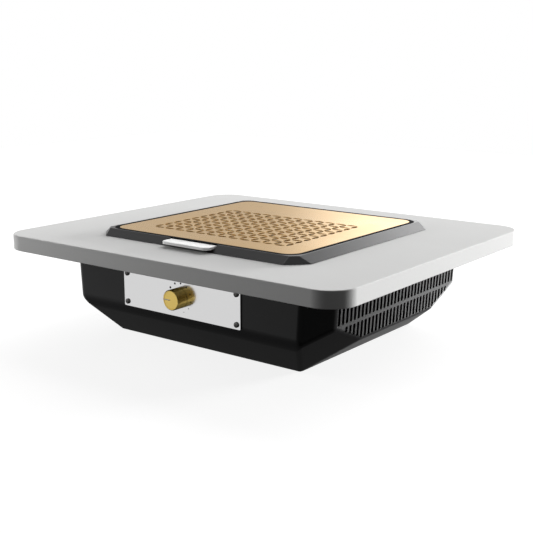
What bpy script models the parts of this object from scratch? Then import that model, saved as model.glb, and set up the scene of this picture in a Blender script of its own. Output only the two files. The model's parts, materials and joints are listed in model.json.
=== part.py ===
"""Nail dust collector built into a worktop panel.

Metres, +Z up. The origin is at the middle of the housing's flat underside, and the
user sits on the -Y side. Each sub-part is one object. Pieces on the front panel and on
the power inlet are modelled in the frame of an empty whose Z axis points out of the wall.
"""

import math

import bmesh
import bpy
from mathutils import Vector

MM = 0.001

# Gap between pieces that lie on each other, and play of a screw in its hole
CLEAR = 0.3 * MM
SCREW_PLAY = 0.4 * MM

# Worktop panel
WORKTOP_W = 425 * MM
WORKTOP_D = 366 * MM
WORKTOP_T = 16 * MM
WORKTOP_CORNER_R = 28 * MM
WORKTOP_EDGE = 1 * MM

# Housing under the worktop: plan at the rim, shoulders where the walls fold in, flat foot
HOUSING_HALF_X = 167.3 * MM
HOUSING_HALF_Y = 138 * MM
HOUSING_H = 90.2 * MM
HOUSING_CORNER = 23 * MM
HOUSING_WALL = 3 * MM
SIDE_DRAFT = math.radians(3.4)
FRONT_SHOULDER_Z = 35.9 * MM
SIDE_SHOULDER_Z = 32 * MM
SIDE_SHOULDER_HALF_Y = 69 * MM
FOOT_HALF_X = 119.6 * MM
FOOT_HALF_Y = 103.8 * MM
EAR_T = 4 * MM
EAR_DROP = 0.2 * MM
EAR_BLUNT = 5 * MM

# Vent slots in the two side walls
SLOT_PITCH = 6.62 * MM
SLOT_W = 3.4 * MM
SLOT_SHORTEST = 4.5 * MM
SLOT_EDGE = 2 * MM
VENT_TOP_BELOW_RIM = 12 * MM
VENT_BRIDGE_BELOW_RIM = 37.6 * MM
VENT_BRIDGE = 4 * MM

# Grille plate and the carrier that it lies in
GRILLE_HALF_X = 116.4 * MM
GRILLE_HALF_Y = 112 * MM
GRILLE_T = 1.2 * MM
GRILLE_CORNER_R = 14 * MM
HOLE_PITCH = 14.3 * MM
HOLE_SIZE = 11.2 * MM
HOLE_SIDE_MARGIN = 31.5 * MM
HOLE_FRONT_MARGIN = 30.5 * MM
HOLE_BACK_MARGIN = 67 * MM
CARRIER_RIM = 4.6 * MM
CARRIER_LEDGE = 7 * MM
CARRIER_LEDGE_T = 0.8 * MM

# Bezel on the worktop and its collar through the cut-out
BEZEL_H = 6.85 * MM
BEZEL_RUN_X = 11.4 * MM
BEZEL_RUN_Y = 8.3 * MM
BEZEL_LIP = 0.8 * MM
BEZEL_FOOT_CUT = 19 * MM
BEZEL_TOP_CUT = 8.8 * MM
COLLAR_WALL = 4.5 * MM
COLLAR_FIT = 0.6 * MM

# Filter cassette
FILTER_INSET = 6.5 * MM
FILTER_WALL = 2.5 * MM
FILTER_LIP = 4 * MM
FILTER_LIP_T = 1.5 * MM
FILTER_FIT = 1 * MM
FILTER_CORNER_R = 6 * MM
FILTER_INNER_R = 0.8 * MM
FLANGE_T = 1.6 * MM
FLANGE_FIT = 0.8 * MM
SEAL_T = 1.2 * MM
PLEATS = 24
PLEAT_FOLD = 7 * MM
MEDIA_BELOW_FLANGE = 3.4 * MM
TAB_HALF_W = 28 * MM
TAB_REACH = 6.3 * MM
TAB_CORNER = 6 * MM
TAB_RISE = 0.9 * MM
TAB_SIDE_GAP = 3 * MM

# Well that holds the cassette, and the bell mouth over the fan
WELL_WALL = 2.5 * MM
WELL_FLANGE_T = 3 * MM
WELL_FLANGE_W = 20 * MM
WELL_OVER_FAN = 4 * MM
PLENUM_H = 10 * MM
THROAT_R = 53 * MM
BELL_R = 8 * MM
BELL_T = 2 * MM
BELL_FLANGE_R = 72 * MM
EYE_GAP = 2 * MM
EYE_OVERLAP = 2 * MM

# Fan wheel and motor. A swept blade is wider round the axis than it is thick, by its slant
IMPELLER_R = 85 * MM
IMPELLER_H = 33 * MM
IMPELLER_RISE = 6.4 * MM
SHEET_T = 2 * MM
SHROUD_DROP = 8 * MM
BLADES = 7
BLADE_T = 2 * MM
BLADE_SWEEP = math.radians(52)
BLADE_SLANT = 1.5
ROTOR_R = 30 * MM
ROTOR_WALL = 3.4 * MM
ROTOR_TOP_T = 3 * MM
ROTOR_H = 27.5 * MM
ROTOR_RISE = 1.6 * MM
AIR_GAP = 0.6 * MM
STATOR_TEETH = 9
STATOR_PARTS = 6
STATOR_H = 16 * MM
STATOR_RISE = 4 * MM
TUBE_WALL = 2.7 * MM
TUBE_GAP = 2.2 * MM
BEARING_R = 8 * MM
BEARING_H = 5 * MM
SHAFT_R = 2.5 * MM
BASE_R = 40 * MM
BASE_T = 3 * MM
MOTOR_SCREWS = 3
MOTOR_SCREW_CIRCLE = 36 * MM
PLATE_HALF = 52 * MM
PLATE_T = 2 * MM
DAMPER_AT = 42 * MM
DAMPER_R = 7.5 * MM
DAMPER_WAIST_R = 6.4 * MM
DAMPER_H = 6 * MM
PEG_R = 3 * MM

# Front panel: plate, knob and what is behind them
PANEL_BELOW_RIM = 29.5 * MM
PANEL_HALF_X = 76 * MM
PANEL_HALF_Y = 19.4 * MM
PANEL_T = 1 * MM
PANEL_SCREW_INSET = 4.7 * MM
KNOB_R = 10.2 * MM
KNOB_L = 12.5 * MM
KNOB_GAP = 0.5 * MM
KNOB_TOP = 3 * MM
KNURLS = 24
KNURL_DEPTH = 0.4 * MM
POINTER_W = 1 * MM
POINTER_DEPTH = 0.5 * MM
CONTROL_R = 8.5 * MM
CONTROL_L = 9.5 * MM
CONTROL_SHAFT_R = 3 * MM
CONTROL_SHAFT_L = 19 * MM
BUSH_R = 4 * MM
BUSH_L = 4.4 * MM
NUT_FLAT = 11 * MM
NUT_T = 2 * MM
BOARD_HALF_X = 48 * MM
BOARD_HALF_Y = 18 * MM
BOARD_T = 1.6 * MM
BOARD_SCREW_X = 40 * MM
BOSS_R = 3.4 * MM
SET_SCREW_R = 1.5 * MM
SET_SCREW_L = 5.5 * MM
CAPACITOR_R = 6 * MM
CAPACITOR_L = 10 * MM
CAPACITOR_X = 25 * MM
TERMINAL = Vector((16, 10, 9)) * MM
TERMINAL_X = -25 * MM
TERMINAL_Y = -8 * MM

# Power inlet on the back wall
INLET_X = 60 * MM
INLET_FLANGE_HALF_X = 25 * MM
INLET_FLANGE_HALF_Y = 12 * MM
INLET_FLANGE_T = 2.5 * MM
INLET_HALF_X = 14 * MM
INLET_HALF_Y = 10 * MM
INLET_DEPTH = 18 * MM
INLET_WALL = 1.75 * MM
INLET_FLOOR = 4 * MM
INLET_SCREW_X = 20 * MM
CONTACT_HALF_X = 2 * MM
CONTACT_HALF_Y = 1 * MM
CONTACT_SEAT = 2 * MM
CONTACT_L = 14 * MM
CONTACTS = ((-7 * MM, 2 * MM), (0, -2 * MM), (7 * MM, 2 * MM))

# Screws: head radius, head height, shank radius, length under the head. Then the share of a
# head's height that is upright, and the share of its radius that is flat on top
WOOD_SCREW = (3.6 * MM, 2.4 * MM, 1.8 * MM, 15 * MM)
CLAMP_BITE = 2.5 * MM
CLAMP_SCREW = (3.4 * MM, 2.4 * MM, 1.6 * MM, WELL_FLANGE_T + WORKTOP_T + 3 * CLEAR + CLAMP_BITE)
PANEL_SCREW = (2.7 * MM, 1.6 * MM, 1.5 * MM, 8 * MM)
BOARD_SCREW = (2.6 * MM, 1.6 * MM, 1.1 * MM, 6 * MM)
MOTOR_SCREW = (2.7 * MM, 1.8 * MM, 1.5 * MM, 5 * MM)
DAMPER_SCREW = (3.5 * MM, 2 * MM, 1.2 * MM, 7.2 * MM)
HEAD_RIM = 0.5
HEAD_CROWN = 0.6
CLAMP_AT_Y = 60 * MM
CLAMP_FROM_CUTOUT = 9.6 * MM

# Wires inside: the motor's lead and the mains lead
MOTOR_LEAD_D = 3 * MM
MAINS_LEAD_D = 5 * MM
LEAD_STEP = 3

# Facets of round pieces and of round corners
ROUND_STEPS = 32
SMALL_STEPS = 8
CORNER_STEPS = 3
WORKTOP_CORNER_STEPS = 6
SMOOTH_ANGLE = math.radians(35)

# Heights of the stack above the worktop
WORKTOP_Z = HOUSING_H + CLEAR
WORKTOP_TOP = WORKTOP_Z + WORKTOP_T
BEZEL_Z = WORKTOP_TOP + CLEAR
BEZEL_TOP = BEZEL_Z + BEZEL_H
GRILLE_Z = BEZEL_TOP - GRILLE_T
CARRIER_Z = GRILLE_Z - CLEAR - CARRIER_LEDGE_T
FLANGE_TOP = CARRIER_Z - CLEAR
FLANGE_Z = FLANGE_TOP - FLANGE_T
SEAL_Z = FLANGE_Z - CLEAR - SEAL_T
COLLAR_TOP = SEAL_Z - CLEAR

# Heights of the fan, from the floor of the housing up
FLOOR_Z = HOUSING_WALL
DAMPER_Z = FLOOR_Z + CLEAR
PLATE_Z = DAMPER_Z + DAMPER_H + CLEAR
BASE_Z = PLATE_Z + PLATE_T + CLEAR
BASE_TOP = BASE_Z + BASE_T
ROTOR_Z = BASE_TOP + ROTOR_RISE
ROTOR_TOP = ROTOR_Z + ROTOR_H
IMPELLER_Z = PLATE_Z + PLATE_T + IMPELLER_RISE
EYE_TOP = IMPELLER_Z + IMPELLER_H
WELL_Z = EYE_TOP + WELL_OVER_FAN
WELL_FLOOR = WELL_Z + WELL_WALL
FILTER_Z = WELL_FLOOR + PLENUM_H

# Half sizes in plan that follow from each other
FILTER_HALF_X = GRILLE_HALF_X - FILTER_INSET
FILTER_HALF_Y = GRILLE_HALF_Y - FILTER_INSET
CARRIER_HALF_X = GRILLE_HALF_X + CLEAR + CARRIER_RIM
CARRIER_HALF_Y = GRILLE_HALF_Y + CLEAR + CARRIER_RIM
POCKET_HALF_X = CARRIER_HALF_X + CLEAR
POCKET_HALF_Y = CARRIER_HALF_Y + CLEAR
POCKET_R = GRILLE_CORNER_R + CARRIER_RIM + 2 * CLEAR
LIP_HALF_X = POCKET_HALF_X + BEZEL_LIP
LIP_HALF_Y = POCKET_HALF_Y + BEZEL_LIP
BEZEL_HALF_X = LIP_HALF_X + BEZEL_RUN_X
BEZEL_HALF_Y = LIP_HALF_Y + BEZEL_RUN_Y
BAY_HALF_X = FILTER_HALF_X + FILTER_FIT
BAY_HALF_Y = FILTER_HALF_Y + FILTER_FIT
BAY_CORNER_R = FILTER_CORNER_R + FILTER_FIT
COLLAR_HALF_X = BAY_HALF_X + COLLAR_WALL
COLLAR_HALF_Y = BAY_HALF_Y + COLLAR_WALL
CUTOUT_HALF_X = COLLAR_HALF_X + COLLAR_FIT
CUTOUT_HALF_Y = COLLAR_HALF_Y + COLLAR_FIT
CUTOUT_R = BAY_CORNER_R + COLLAR_WALL + COLLAR_FIT
WELL_HALF_X = BAY_HALF_X + WELL_WALL
WELL_HALF_Y = BAY_HALF_Y + WELL_WALL
CLAMP_AT_X = CUTOUT_HALF_X + CLAMP_FROM_CUTOUT
TAB_FRONT = BEZEL_HALF_Y + TAB_REACH
EYE_R = THROAT_R + BELL_T + EYE_GAP
EAR_AT_X = HOUSING_HALF_X - HOUSING_CORNER / 3
EAR_AT_Y = HOUSING_HALF_Y - HOUSING_CORNER / 3
PANEL_Z = HOUSING_H - PANEL_BELOW_RIM
PANEL_SCREW_X = PANEL_HALF_X - PANEL_SCREW_INSET
PANEL_SCREW_Y = PANEL_HALF_Y - PANEL_SCREW_INSET
PLATE_FRONT = CLEAR + PANEL_T
CONTROL_BACK = -HOUSING_WALL - CLEAR - CONTROL_L
BOARD_BACK = CONTROL_BACK - CLEAR - BOARD_T

# Cords inside: a few points of each route, from the motor or the inlet to the terminals
TERMINAL_FOOT = PANEL_Z + TERMINAL_Y - TERMINAL.y / 2 - CLEAR
TERMINAL_DEEP = HOUSING_HALF_Y + BOARD_BACK - CLEAR - TERMINAL.z / 2
MOTOR_LEAD_ROUTE = (
    (0, -BASE_R - CLEAR, BASE_Z + BASE_T / 2),
    (0, -PLATE_HALF - MOTOR_LEAD_D, BASE_Z + BASE_T / 2),
    (-3 * MM, -66 * MM, 10 * MM),
    (-8 * MM, -79 * MM, 6 * MM),
    (-14 * MM, -92 * MM, 5.4 * MM),
    (-20 * MM, -105 * MM, 12 * MM),
    (-25 * MM, -113 * MM, 26 * MM),
    (-28 * MM, -TERMINAL_DEEP, 38 * MM),
    (-28 * MM, -TERMINAL_DEEP, TERMINAL_FOOT),
)
MAINS_LEAD_ROUTE = (
    (INLET_X, HOUSING_HALF_Y - 12 * MM, PANEL_Z - INLET_HALF_Y - CLEAR),
    (INLET_X, HOUSING_HALF_Y - 12 * MM, 43 * MM),
    (INLET_X, 119 * MM, 31 * MM),
    (INLET_X, 108 * MM, 17 * MM),
    (INLET_X, 96 * MM, 7.5 * MM),
    (63 * MM, 78 * MM, 6 * MM),
    (66 * MM, 30 * MM, 5.9 * MM),
    (66 * MM, -30 * MM, 5.9 * MM),
    (60 * MM, -68 * MM, 6 * MM),
    (38 * MM, -92 * MM, 6.4 * MM),
    (8 * MM, -105 * MM, 14 * MM),
    (-12 * MM, -113 * MM, 27 * MM),
    (-21 * MM, -TERMINAL_DEEP, 38 * MM),
    (-21 * MM, -TERMINAL_DEEP, TERMINAL_FOOT),
)


def finish(name, colour, roughness, metallic=0.0):
    """A Principled material."""
    material = bpy.data.materials.new(name)
    material.use_nodes = True
    shader = material.node_tree.nodes["Principled BSDF"]
    shader.inputs["Base Color"].default_value = (*colour, 1)
    shader.inputs["Roughness"].default_value = roughness
    shader.inputs["Metallic"].default_value = metallic
    return material


def empty(name, location=(0, 0, 0), rotation=(0, 0, 0)):
    """A frame that pieces are parented to."""
    frame = bpy.data.objects.new(name, None)
    frame.location = location
    frame.rotation_euler = rotation
    bpy.context.collection.objects.link(frame)
    return frame


def make(name, bm, material, parent=None, location=(0, 0, 0), rotation=(0, 0, 0)):
    """Turns a bmesh into a named object with its faces pointing out."""
    bmesh.ops.recalc_face_normals(bm, faces=bm.faces[:])
    mesh = bpy.data.meshes.new(name)
    bm.to_mesh(mesh)
    bm.free()
    mesh.shade_smooth()
    mesh.set_sharp_from_angle(angle=SMOOTH_ANGLE)
    if material:
        mesh.materials.append(material)
    obj = bpy.data.objects.new(name, mesh)
    obj.location = location
    obj.rotation_euler = rotation
    obj.parent = parent
    bpy.context.collection.objects.link(obj)
    return obj


def combine(target, helper, operation):
    """Cuts the helper from the target, or joins it on. The helper stays out of renders."""
    modifier = target.modifiers.new(helper.name, "BOOLEAN")
    modifier.operation = operation
    modifier.solver = "EXACT"
    modifier.object = helper
    helper.hide_render = True
    helper.display_type = "WIRE"


def cut(target, helper):
    """Cuts the helper from the target."""
    combine(target, helper, "DIFFERENCE")


def join(target, helper):
    """Joins the helper on to the target."""
    combine(target, helper, "UNION")


def add_skin(bm, loops, ring=False):
    """A closed skin through loops of equal length: capped at both ends, or closed to a ring."""
    rows = [[bm.verts.new(point) for point in loop] for loop in loops]
    pairs = list(zip(rows, rows[1:]))
    if ring:
        pairs.append((rows[-1], rows[0]))
    else:
        bm.faces.new(rows[0])
        bm.faces.new(rows[-1])
    for low, high in pairs:
        for here in range(len(low)):
            there = (here + 1) % len(low)
            bm.faces.new((low[here], low[there], high[there], high[here]))


def skin(name, loops, material, ring=False, **placing):
    """An object with one closed skin."""
    bm = bmesh.new()
    add_skin(bm, loops, ring)
    return make(name, bm, material, **placing)


def corner_loop(half_x, half_y, size, z, steps=CORNER_STEPS, straight=False):
    """A rectangle whose corners are round arcs of this radius, or straight 45 degree cuts."""
    points = []
    for quarter, (side_x, side_y) in enumerate(((1, 1), (-1, 1), (-1, -1), (1, -1))):
        centre = Vector((side_x * (half_x - size), side_y * (half_y - size), z))
        for step in range(steps + 1):
            offset = direction(quarter + step / steps)
            if straight:
                offset = direction(quarter).lerp(direction(quarter + 1), step / steps)
            points.append(centre + size * offset)
    return points


def direction(quarters):
    """The unit vector in plan after this many quarter turns from +X."""
    turn = math.radians(90) * quarters
    return Vector((math.cos(turn), math.sin(turn), 0))


def circle(radius, z, steps=ROUND_STEPS, centre=(0, 0)):
    """Points round a circle."""
    angles = [math.tau * step / steps for step in range(steps)]
    return [(centre[0] + radius * math.cos(a), centre[1] + radius * math.sin(a), z) for a in angles]


def turned(name, profile, material, ring=False, steps=ROUND_STEPS, **placing):
    """A turned piece from its (radius, height) profile: a ring profile goes right round."""
    return skin(name, [circle(r, z, steps) for r, z in profile], material, ring, **placing)


def prism(bm, outline, low, high):
    """A straight prism on an outline of (x, y) points."""
    add_skin(bm, [[(x, y, z) for x, y in outline] for z in (low, high)])


def block(bm, low, high):
    """A box between two corners."""
    outline = ((low[0], low[1]), (high[0], low[1]), (high[0], high[1]), (low[0], high[1]))
    prism(bm, outline, low[2], high[2])


def pegs(name, spots, radius, low, high, parent=None, steps=SMALL_STEPS):
    """A helper of round pegs, all alike: bosses to join on, or holes to cut."""
    bm = bmesh.new()
    for spot in spots:
        add_skin(bm, [circle(radius, z, steps, spot) for z in (low, high)])
    return make(name, bm, None, parent)


def blocks(name, corners, parent=None):
    """A helper of boxes, given as pairs of corners."""
    bm = bmesh.new()
    for low, high in corners:
        block(bm, low, high)
    return make(name, bm, None, parent)


def screw(name, sizes, spot, seat, material, parent=None, up=True):
    """A pan-head screw whose head lies on a seat, with its shank into the part."""
    head_r, head_h, shank_r, length = sizes
    rim = (head_r, HEAD_RIM * head_h)
    crown = (HEAD_CROWN * head_r, head_h)
    profile = ((shank_r, -length), (shank_r, 0), (head_r, 0), rim, crown)
    side = 1 if up else -1
    return turned(
        name,
        profile,
        material,
        steps=SMALL_STEPS,
        parent=parent,
        location=(*spot, seat + side * CLEAR),
        rotation=(0 if up else math.pi, 0, 0),
    )


def four(x, y):
    """The four spots at plus and minus x and y."""
    return [(sx * x, sy * y) for sx, sy in ((-1, -1), (1, -1), (1, 1), (-1, 1))]


def lead(name, route, diameter, material):
    """A wire along a smooth curve through its route, with a point every few diameters."""
    knots = [Vector(point) for point in route]
    ends = [2 * knots[0] - knots[1], *knots, 2 * knots[-1] - knots[-2]]
    points = []
    for before, start, stop, after in zip(ends, ends[1:], ends[2:], ends[3:]):
        count = max(1, round((stop - start).length / (LEAD_STEP * diameter)))
        for step in range(count):
            t = step / count
            bend = start * 2 + (stop - before) * t
            bend += (before * 2 - start * 5 + stop * 4 - after) * t**2
            bend += (start * 3 - before - stop * 3 + after) * t**3
            points.append(bend / 2)
    points.append(knots[-1])
    curve = bpy.data.curves.new(name, "CURVE")
    curve.dimensions = "3D"
    curve.bevel_depth = diameter / 2
    curve.bevel_resolution = 2
    curve.use_fill_caps = True
    spline = curve.splines.new("POLY")
    spline.points.add(len(points) - 1)
    for slot, point in zip(spline.points, points):
        slot.co = (*point, 1)
    curve.materials.append(material)
    obj = bpy.data.objects.new(name, curve)
    bpy.context.collection.objects.link(obj)


def carve(bm, planes):
    """Cuts a solid back to the inside of each plane, given by a point and its outward normal."""
    for point, normal in planes:
        everything = bm.verts[:] + bm.edges[:] + bm.faces[:]
        result = bmesh.ops.bisect_plane(
            bm, geom=everything, plane_co=point, plane_no=normal, clear_outer=True
        )
        rim = [item for item in result["geom_cut"] if isinstance(item, bmesh.types.BMEdge)]
        bmesh.ops.edgeloop_fill(bm, edges=rim)


def side_lean():
    """How far a side wall moves in for each length that it goes down."""
    return math.tan(SIDE_DRAFT)


def shoulder_x():
    """Where a side wall ends at its shoulder."""
    return HOUSING_HALF_X - (HOUSING_H - SIDE_SHOULDER_Z) * side_lean()


def corner_facet(sx, sy):
    """The slanted facet under a corner: its point on the foot, and its outward normal."""
    corner_x = HOUSING_HALF_X - HOUSING_CORNER - (HOUSING_H - FRONT_SHOULDER_Z) * side_lean()
    front = Vector((sx * corner_x, sy * HOUSING_HALF_Y, FRONT_SHOULDER_Z))
    side = Vector((sx * shoulder_x(), sy * SIDE_SHOULDER_HALF_Y, SIDE_SHOULDER_Z))
    foot = Vector((sx * FOOT_HALF_X, sy * FOOT_HALF_Y, 0))
    normal = (side - front).cross(foot - front)
    return foot, normal if normal.z < 0 else -normal


def housing_planes(inset):
    """The housing's outer planes, each moved in by the inset."""
    planes = [((0, 0, 0), (0, 0, -1))]
    fold_x = shoulder_x() - FOOT_HALF_X
    fold_y = HOUSING_HALF_Y - FOOT_HALF_Y
    for side in (-1, 1):
        planes.append(((side * HOUSING_HALF_X, 0, HOUSING_H), (side, 0, -side_lean())))
        planes.append(((0, side * HOUSING_HALF_Y, 0), (0, side, 0)))
        planes.append(((side * FOOT_HALF_X, 0, 0), (side * SIDE_SHOULDER_Z, 0, -fold_x)))
        planes.append(((0, side * FOOT_HALF_Y, 0), (0, side * FRONT_SHOULDER_Z, -fold_y)))
    for sx, sy in four(1, 1):
        rim = (sx * (HOUSING_HALF_X - HOUSING_CORNER), sy * HOUSING_HALF_Y, HOUSING_H)
        planes.append((rim, (sx, sy, -side_lean())))
        planes.append(corner_facet(sx, sy))
    moved = []
    for point, normal in planes:
        outward = Vector(normal).normalized()
        moved.append((Vector(point) - outward * inset, outward))
    return moved


def housing_solid(name, inset, top, material=None):
    """The housing's outline as a solid, moved in by the inset and open upwards to a height."""
    bm = bmesh.new()
    wide_x, wide_y = 2 * HOUSING_HALF_X, 2 * HOUSING_HALF_Y
    block(bm, (-wide_x, -wide_y, -HOUSING_H), (wide_x, wide_y, top))
    bmesh.ops.recalc_face_normals(bm, faces=bm.faces[:])
    carve(bm, housing_planes(inset))
    return make(name, bm, material)


def slot_foot(y):
    """The lowest that a vent slot may start: clear of the side wall's bottom edge and slanted ends."""
    _, facet = corner_facet(1, 1)
    edge = Vector((1, 0, -side_lean())).cross(facet)
    past = max(0, abs(y) - SIDE_SHOULDER_HALF_Y)
    return SIDE_SHOULDER_Z + past * edge.z / edge.y + SLOT_EDGE


def vent_slots():
    """Corners of the boxes that cut the vent slots: two rows in each side wall."""
    bridge = HOUSING_H - VENT_BRIDGE_BELOW_RIM
    straight = HOUSING_HALF_Y - HOUSING_CORNER - SLOT_EDGE - SLOT_W
    count = int(2 * straight / SLOT_PITCH) + 1
    deep = HOUSING_HALF_X - HOUSING_H * side_lean() - 2 * HOUSING_WALL
    boxes = []
    for index in range(count):
        y = (index - (count - 1) / 2) * SLOT_PITCH
        rows = [(bridge + VENT_BRIDGE / 2, HOUSING_H - VENT_TOP_BELOW_RIM)]
        lower = (slot_foot(y), bridge - VENT_BRIDGE / 2)
        if lower[1] - lower[0] >= SLOT_SHORTEST:
            rows.append(lower)
        for low, high in rows:
            for x0, x1 in ((deep, HOUSING_HALF_X + HOUSING_WALL), (-HOUSING_HALF_X - HOUSING_WALL, -deep)):
                boxes.append(((x0, y - SLOT_W / 2, low), (x1, y + SLOT_W / 2, high)))
    return boxes


def build_worktop(material):
    """The panel, with its cut-out, the clamp screws' holes and the housing screws' pilot holes."""
    edge = WORKTOP_EDGE
    half_x, half_y = WORKTOP_W / 2, WORKTOP_D / 2

    def outline(inset, z):
        return corner_loop(half_x - inset, half_y - inset, WORKTOP_CORNER_R - inset, z, WORKTOP_CORNER_STEPS)

    loops = [outline(edge, WORKTOP_Z), outline(0, WORKTOP_Z + edge)]
    loops += [outline(0, WORKTOP_TOP - edge), outline(edge, WORKTOP_TOP)]
    for z in (WORKTOP_TOP, WORKTOP_Z):
        loops.append(corner_loop(CUTOUT_HALF_X, CUTOUT_HALF_Y, CUTOUT_R, z, WORKTOP_CORNER_STEPS))
    worktop = skin("worktop", loops, material, ring=True)
    clamp_hole = CLAMP_SCREW[2] + SCREW_PLAY
    spots = four(CLAMP_AT_X, CLAMP_AT_Y)
    cut(worktop, pegs("worktop_clamp_holes", spots, clamp_hole, HOUSING_H, BEZEL_TOP))
    pilot = WOOD_SCREW[2] + SCREW_PLAY
    top = HOUSING_H - EAR_DROP - EAR_T + WOOD_SCREW[3]
    cut(worktop, pegs("worktop_pilot_holes", four(EAR_AT_X, EAR_AT_Y), pilot, HOUSING_H, top))


def build_bezel(material):
    """The sloped frame, the pocket for cassette and grille, and the collar through the cut-out."""
    collar_r = BAY_CORNER_R + COLLAR_WALL
    collar_foot = WORKTOP_Z + CLEAR
    loops = [
        corner_loop(BEZEL_HALF_X, BEZEL_HALF_Y, BEZEL_FOOT_CUT, BEZEL_Z, straight=True),
        corner_loop(LIP_HALF_X, LIP_HALF_Y, BEZEL_TOP_CUT, BEZEL_TOP, straight=True),
        corner_loop(POCKET_HALF_X, POCKET_HALF_Y, POCKET_R, BEZEL_TOP),
        corner_loop(POCKET_HALF_X, POCKET_HALF_Y, POCKET_R, COLLAR_TOP),
        corner_loop(BAY_HALF_X, BAY_HALF_Y, BAY_CORNER_R, COLLAR_TOP),
        corner_loop(BAY_HALF_X, BAY_HALF_Y, BAY_CORNER_R, collar_foot),
        corner_loop(COLLAR_HALF_X, COLLAR_HALF_Y, collar_r, collar_foot),
        corner_loop(COLLAR_HALF_X, COLLAR_HALF_Y, collar_r, BEZEL_Z),
    ]
    bezel = skin("bezel", loops, material, ring=True)
    notch_x = TAB_HALF_W + TAB_SIDE_GAP
    low = (-notch_x, -TAB_FRONT, FLANGE_Z - CLEAR)
    high = (notch_x, -POCKET_HALF_Y + GRILLE_CORNER_R, BEZEL_TOP + BEZEL_H)
    cut(bezel, blocks("bezel_tab_notch", [(low, high)]))
    tip = HOUSING_H - WELL_FLANGE_T - CLEAR + CLAMP_SCREW[3]
    spots = four(CLAMP_AT_X, CLAMP_AT_Y)
    hole = CLAMP_SCREW[2] + SCREW_PLAY
    cut(bezel, pegs("bezel_clamp_holes", spots, hole, WORKTOP_TOP, tip + CLEAR))


def hole_grid():
    """Centres of the grille's holes: square pitch, with a wide blank strip at the back."""
    width = 2 * (GRILLE_HALF_X - HOLE_SIDE_MARGIN)
    depth = 2 * GRILLE_HALF_Y - HOLE_FRONT_MARGIN - HOLE_BACK_MARGIN
    columns = int((width - HOLE_SIZE) / HOLE_PITCH) + 1
    rows = int((depth - HOLE_SIZE) / HOLE_PITCH) + 1
    middle = -GRILLE_HALF_Y + HOLE_FRONT_MARGIN + depth / 2
    for column in range(columns):
        for row in range(rows):
            yield (
                (column - (columns - 1) / 2) * HOLE_PITCH,
                middle + (row - (rows - 1) / 2) * HOLE_PITCH,
            )


def build_grille(gold, black):
    """The perforated plate, and the carrier frame that it lies in."""
    loops = [corner_loop(GRILLE_HALF_X, GRILLE_HALF_Y, GRILLE_CORNER_R, z) for z in (GRILLE_Z, BEZEL_TOP)]
    grille = skin("grille", loops, gold)
    bm = bmesh.new()
    reach = HOLE_SIZE / 2
    for x, y in hole_grid():
        diamond = ((x + reach, y), (x, y + reach), (x - reach, y), (x, y - reach))
        prism(bm, diamond, GRILLE_Z - GRILLE_T, BEZEL_TOP + GRILLE_T)
    cut(grille, make("grille_holes", bm, None))
    seat_x, seat_y = GRILLE_HALF_X + CLEAR, GRILLE_HALF_Y + CLEAR
    seat_r = GRILLE_CORNER_R + CLEAR
    outer_r = seat_r + CARRIER_RIM
    ledge_z = CARRIER_Z + CARRIER_LEDGE_T
    ledge_x, ledge_y = GRILLE_HALF_X - CARRIER_LEDGE, GRILLE_HALF_Y - CARRIER_LEDGE
    loops = [
        corner_loop(CARRIER_HALF_X, CARRIER_HALF_Y, outer_r, CARRIER_Z),
        corner_loop(CARRIER_HALF_X, CARRIER_HALF_Y, outer_r, BEZEL_TOP),
        corner_loop(seat_x, seat_y, seat_r, BEZEL_TOP),
        corner_loop(seat_x, seat_y, seat_r, ledge_z),
        corner_loop(ledge_x, ledge_y, seat_r, ledge_z),
        corner_loop(ledge_x, ledge_y, seat_r, CARRIER_Z),
    ]
    skin("grille_carrier", loops, black, ring=True)


def tab_plate(name, inset, back, top):
    """A layer of the pull tab, with cut front corners, from y = -back forwards."""
    half, front = TAB_HALF_W - inset, TAB_FRONT - inset
    near = front - TAB_CORNER
    outline = ((half, -back), (-half, -back), (-half, -near))
    outline += ((TAB_CORNER - half, -front), (half - TAB_CORNER, -front), (half, -near))
    bm = bmesh.new()
    prism(bm, outline, FLANGE_Z + CLEAR / 2 + inset, top)
    return make(name, bm, None)


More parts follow.
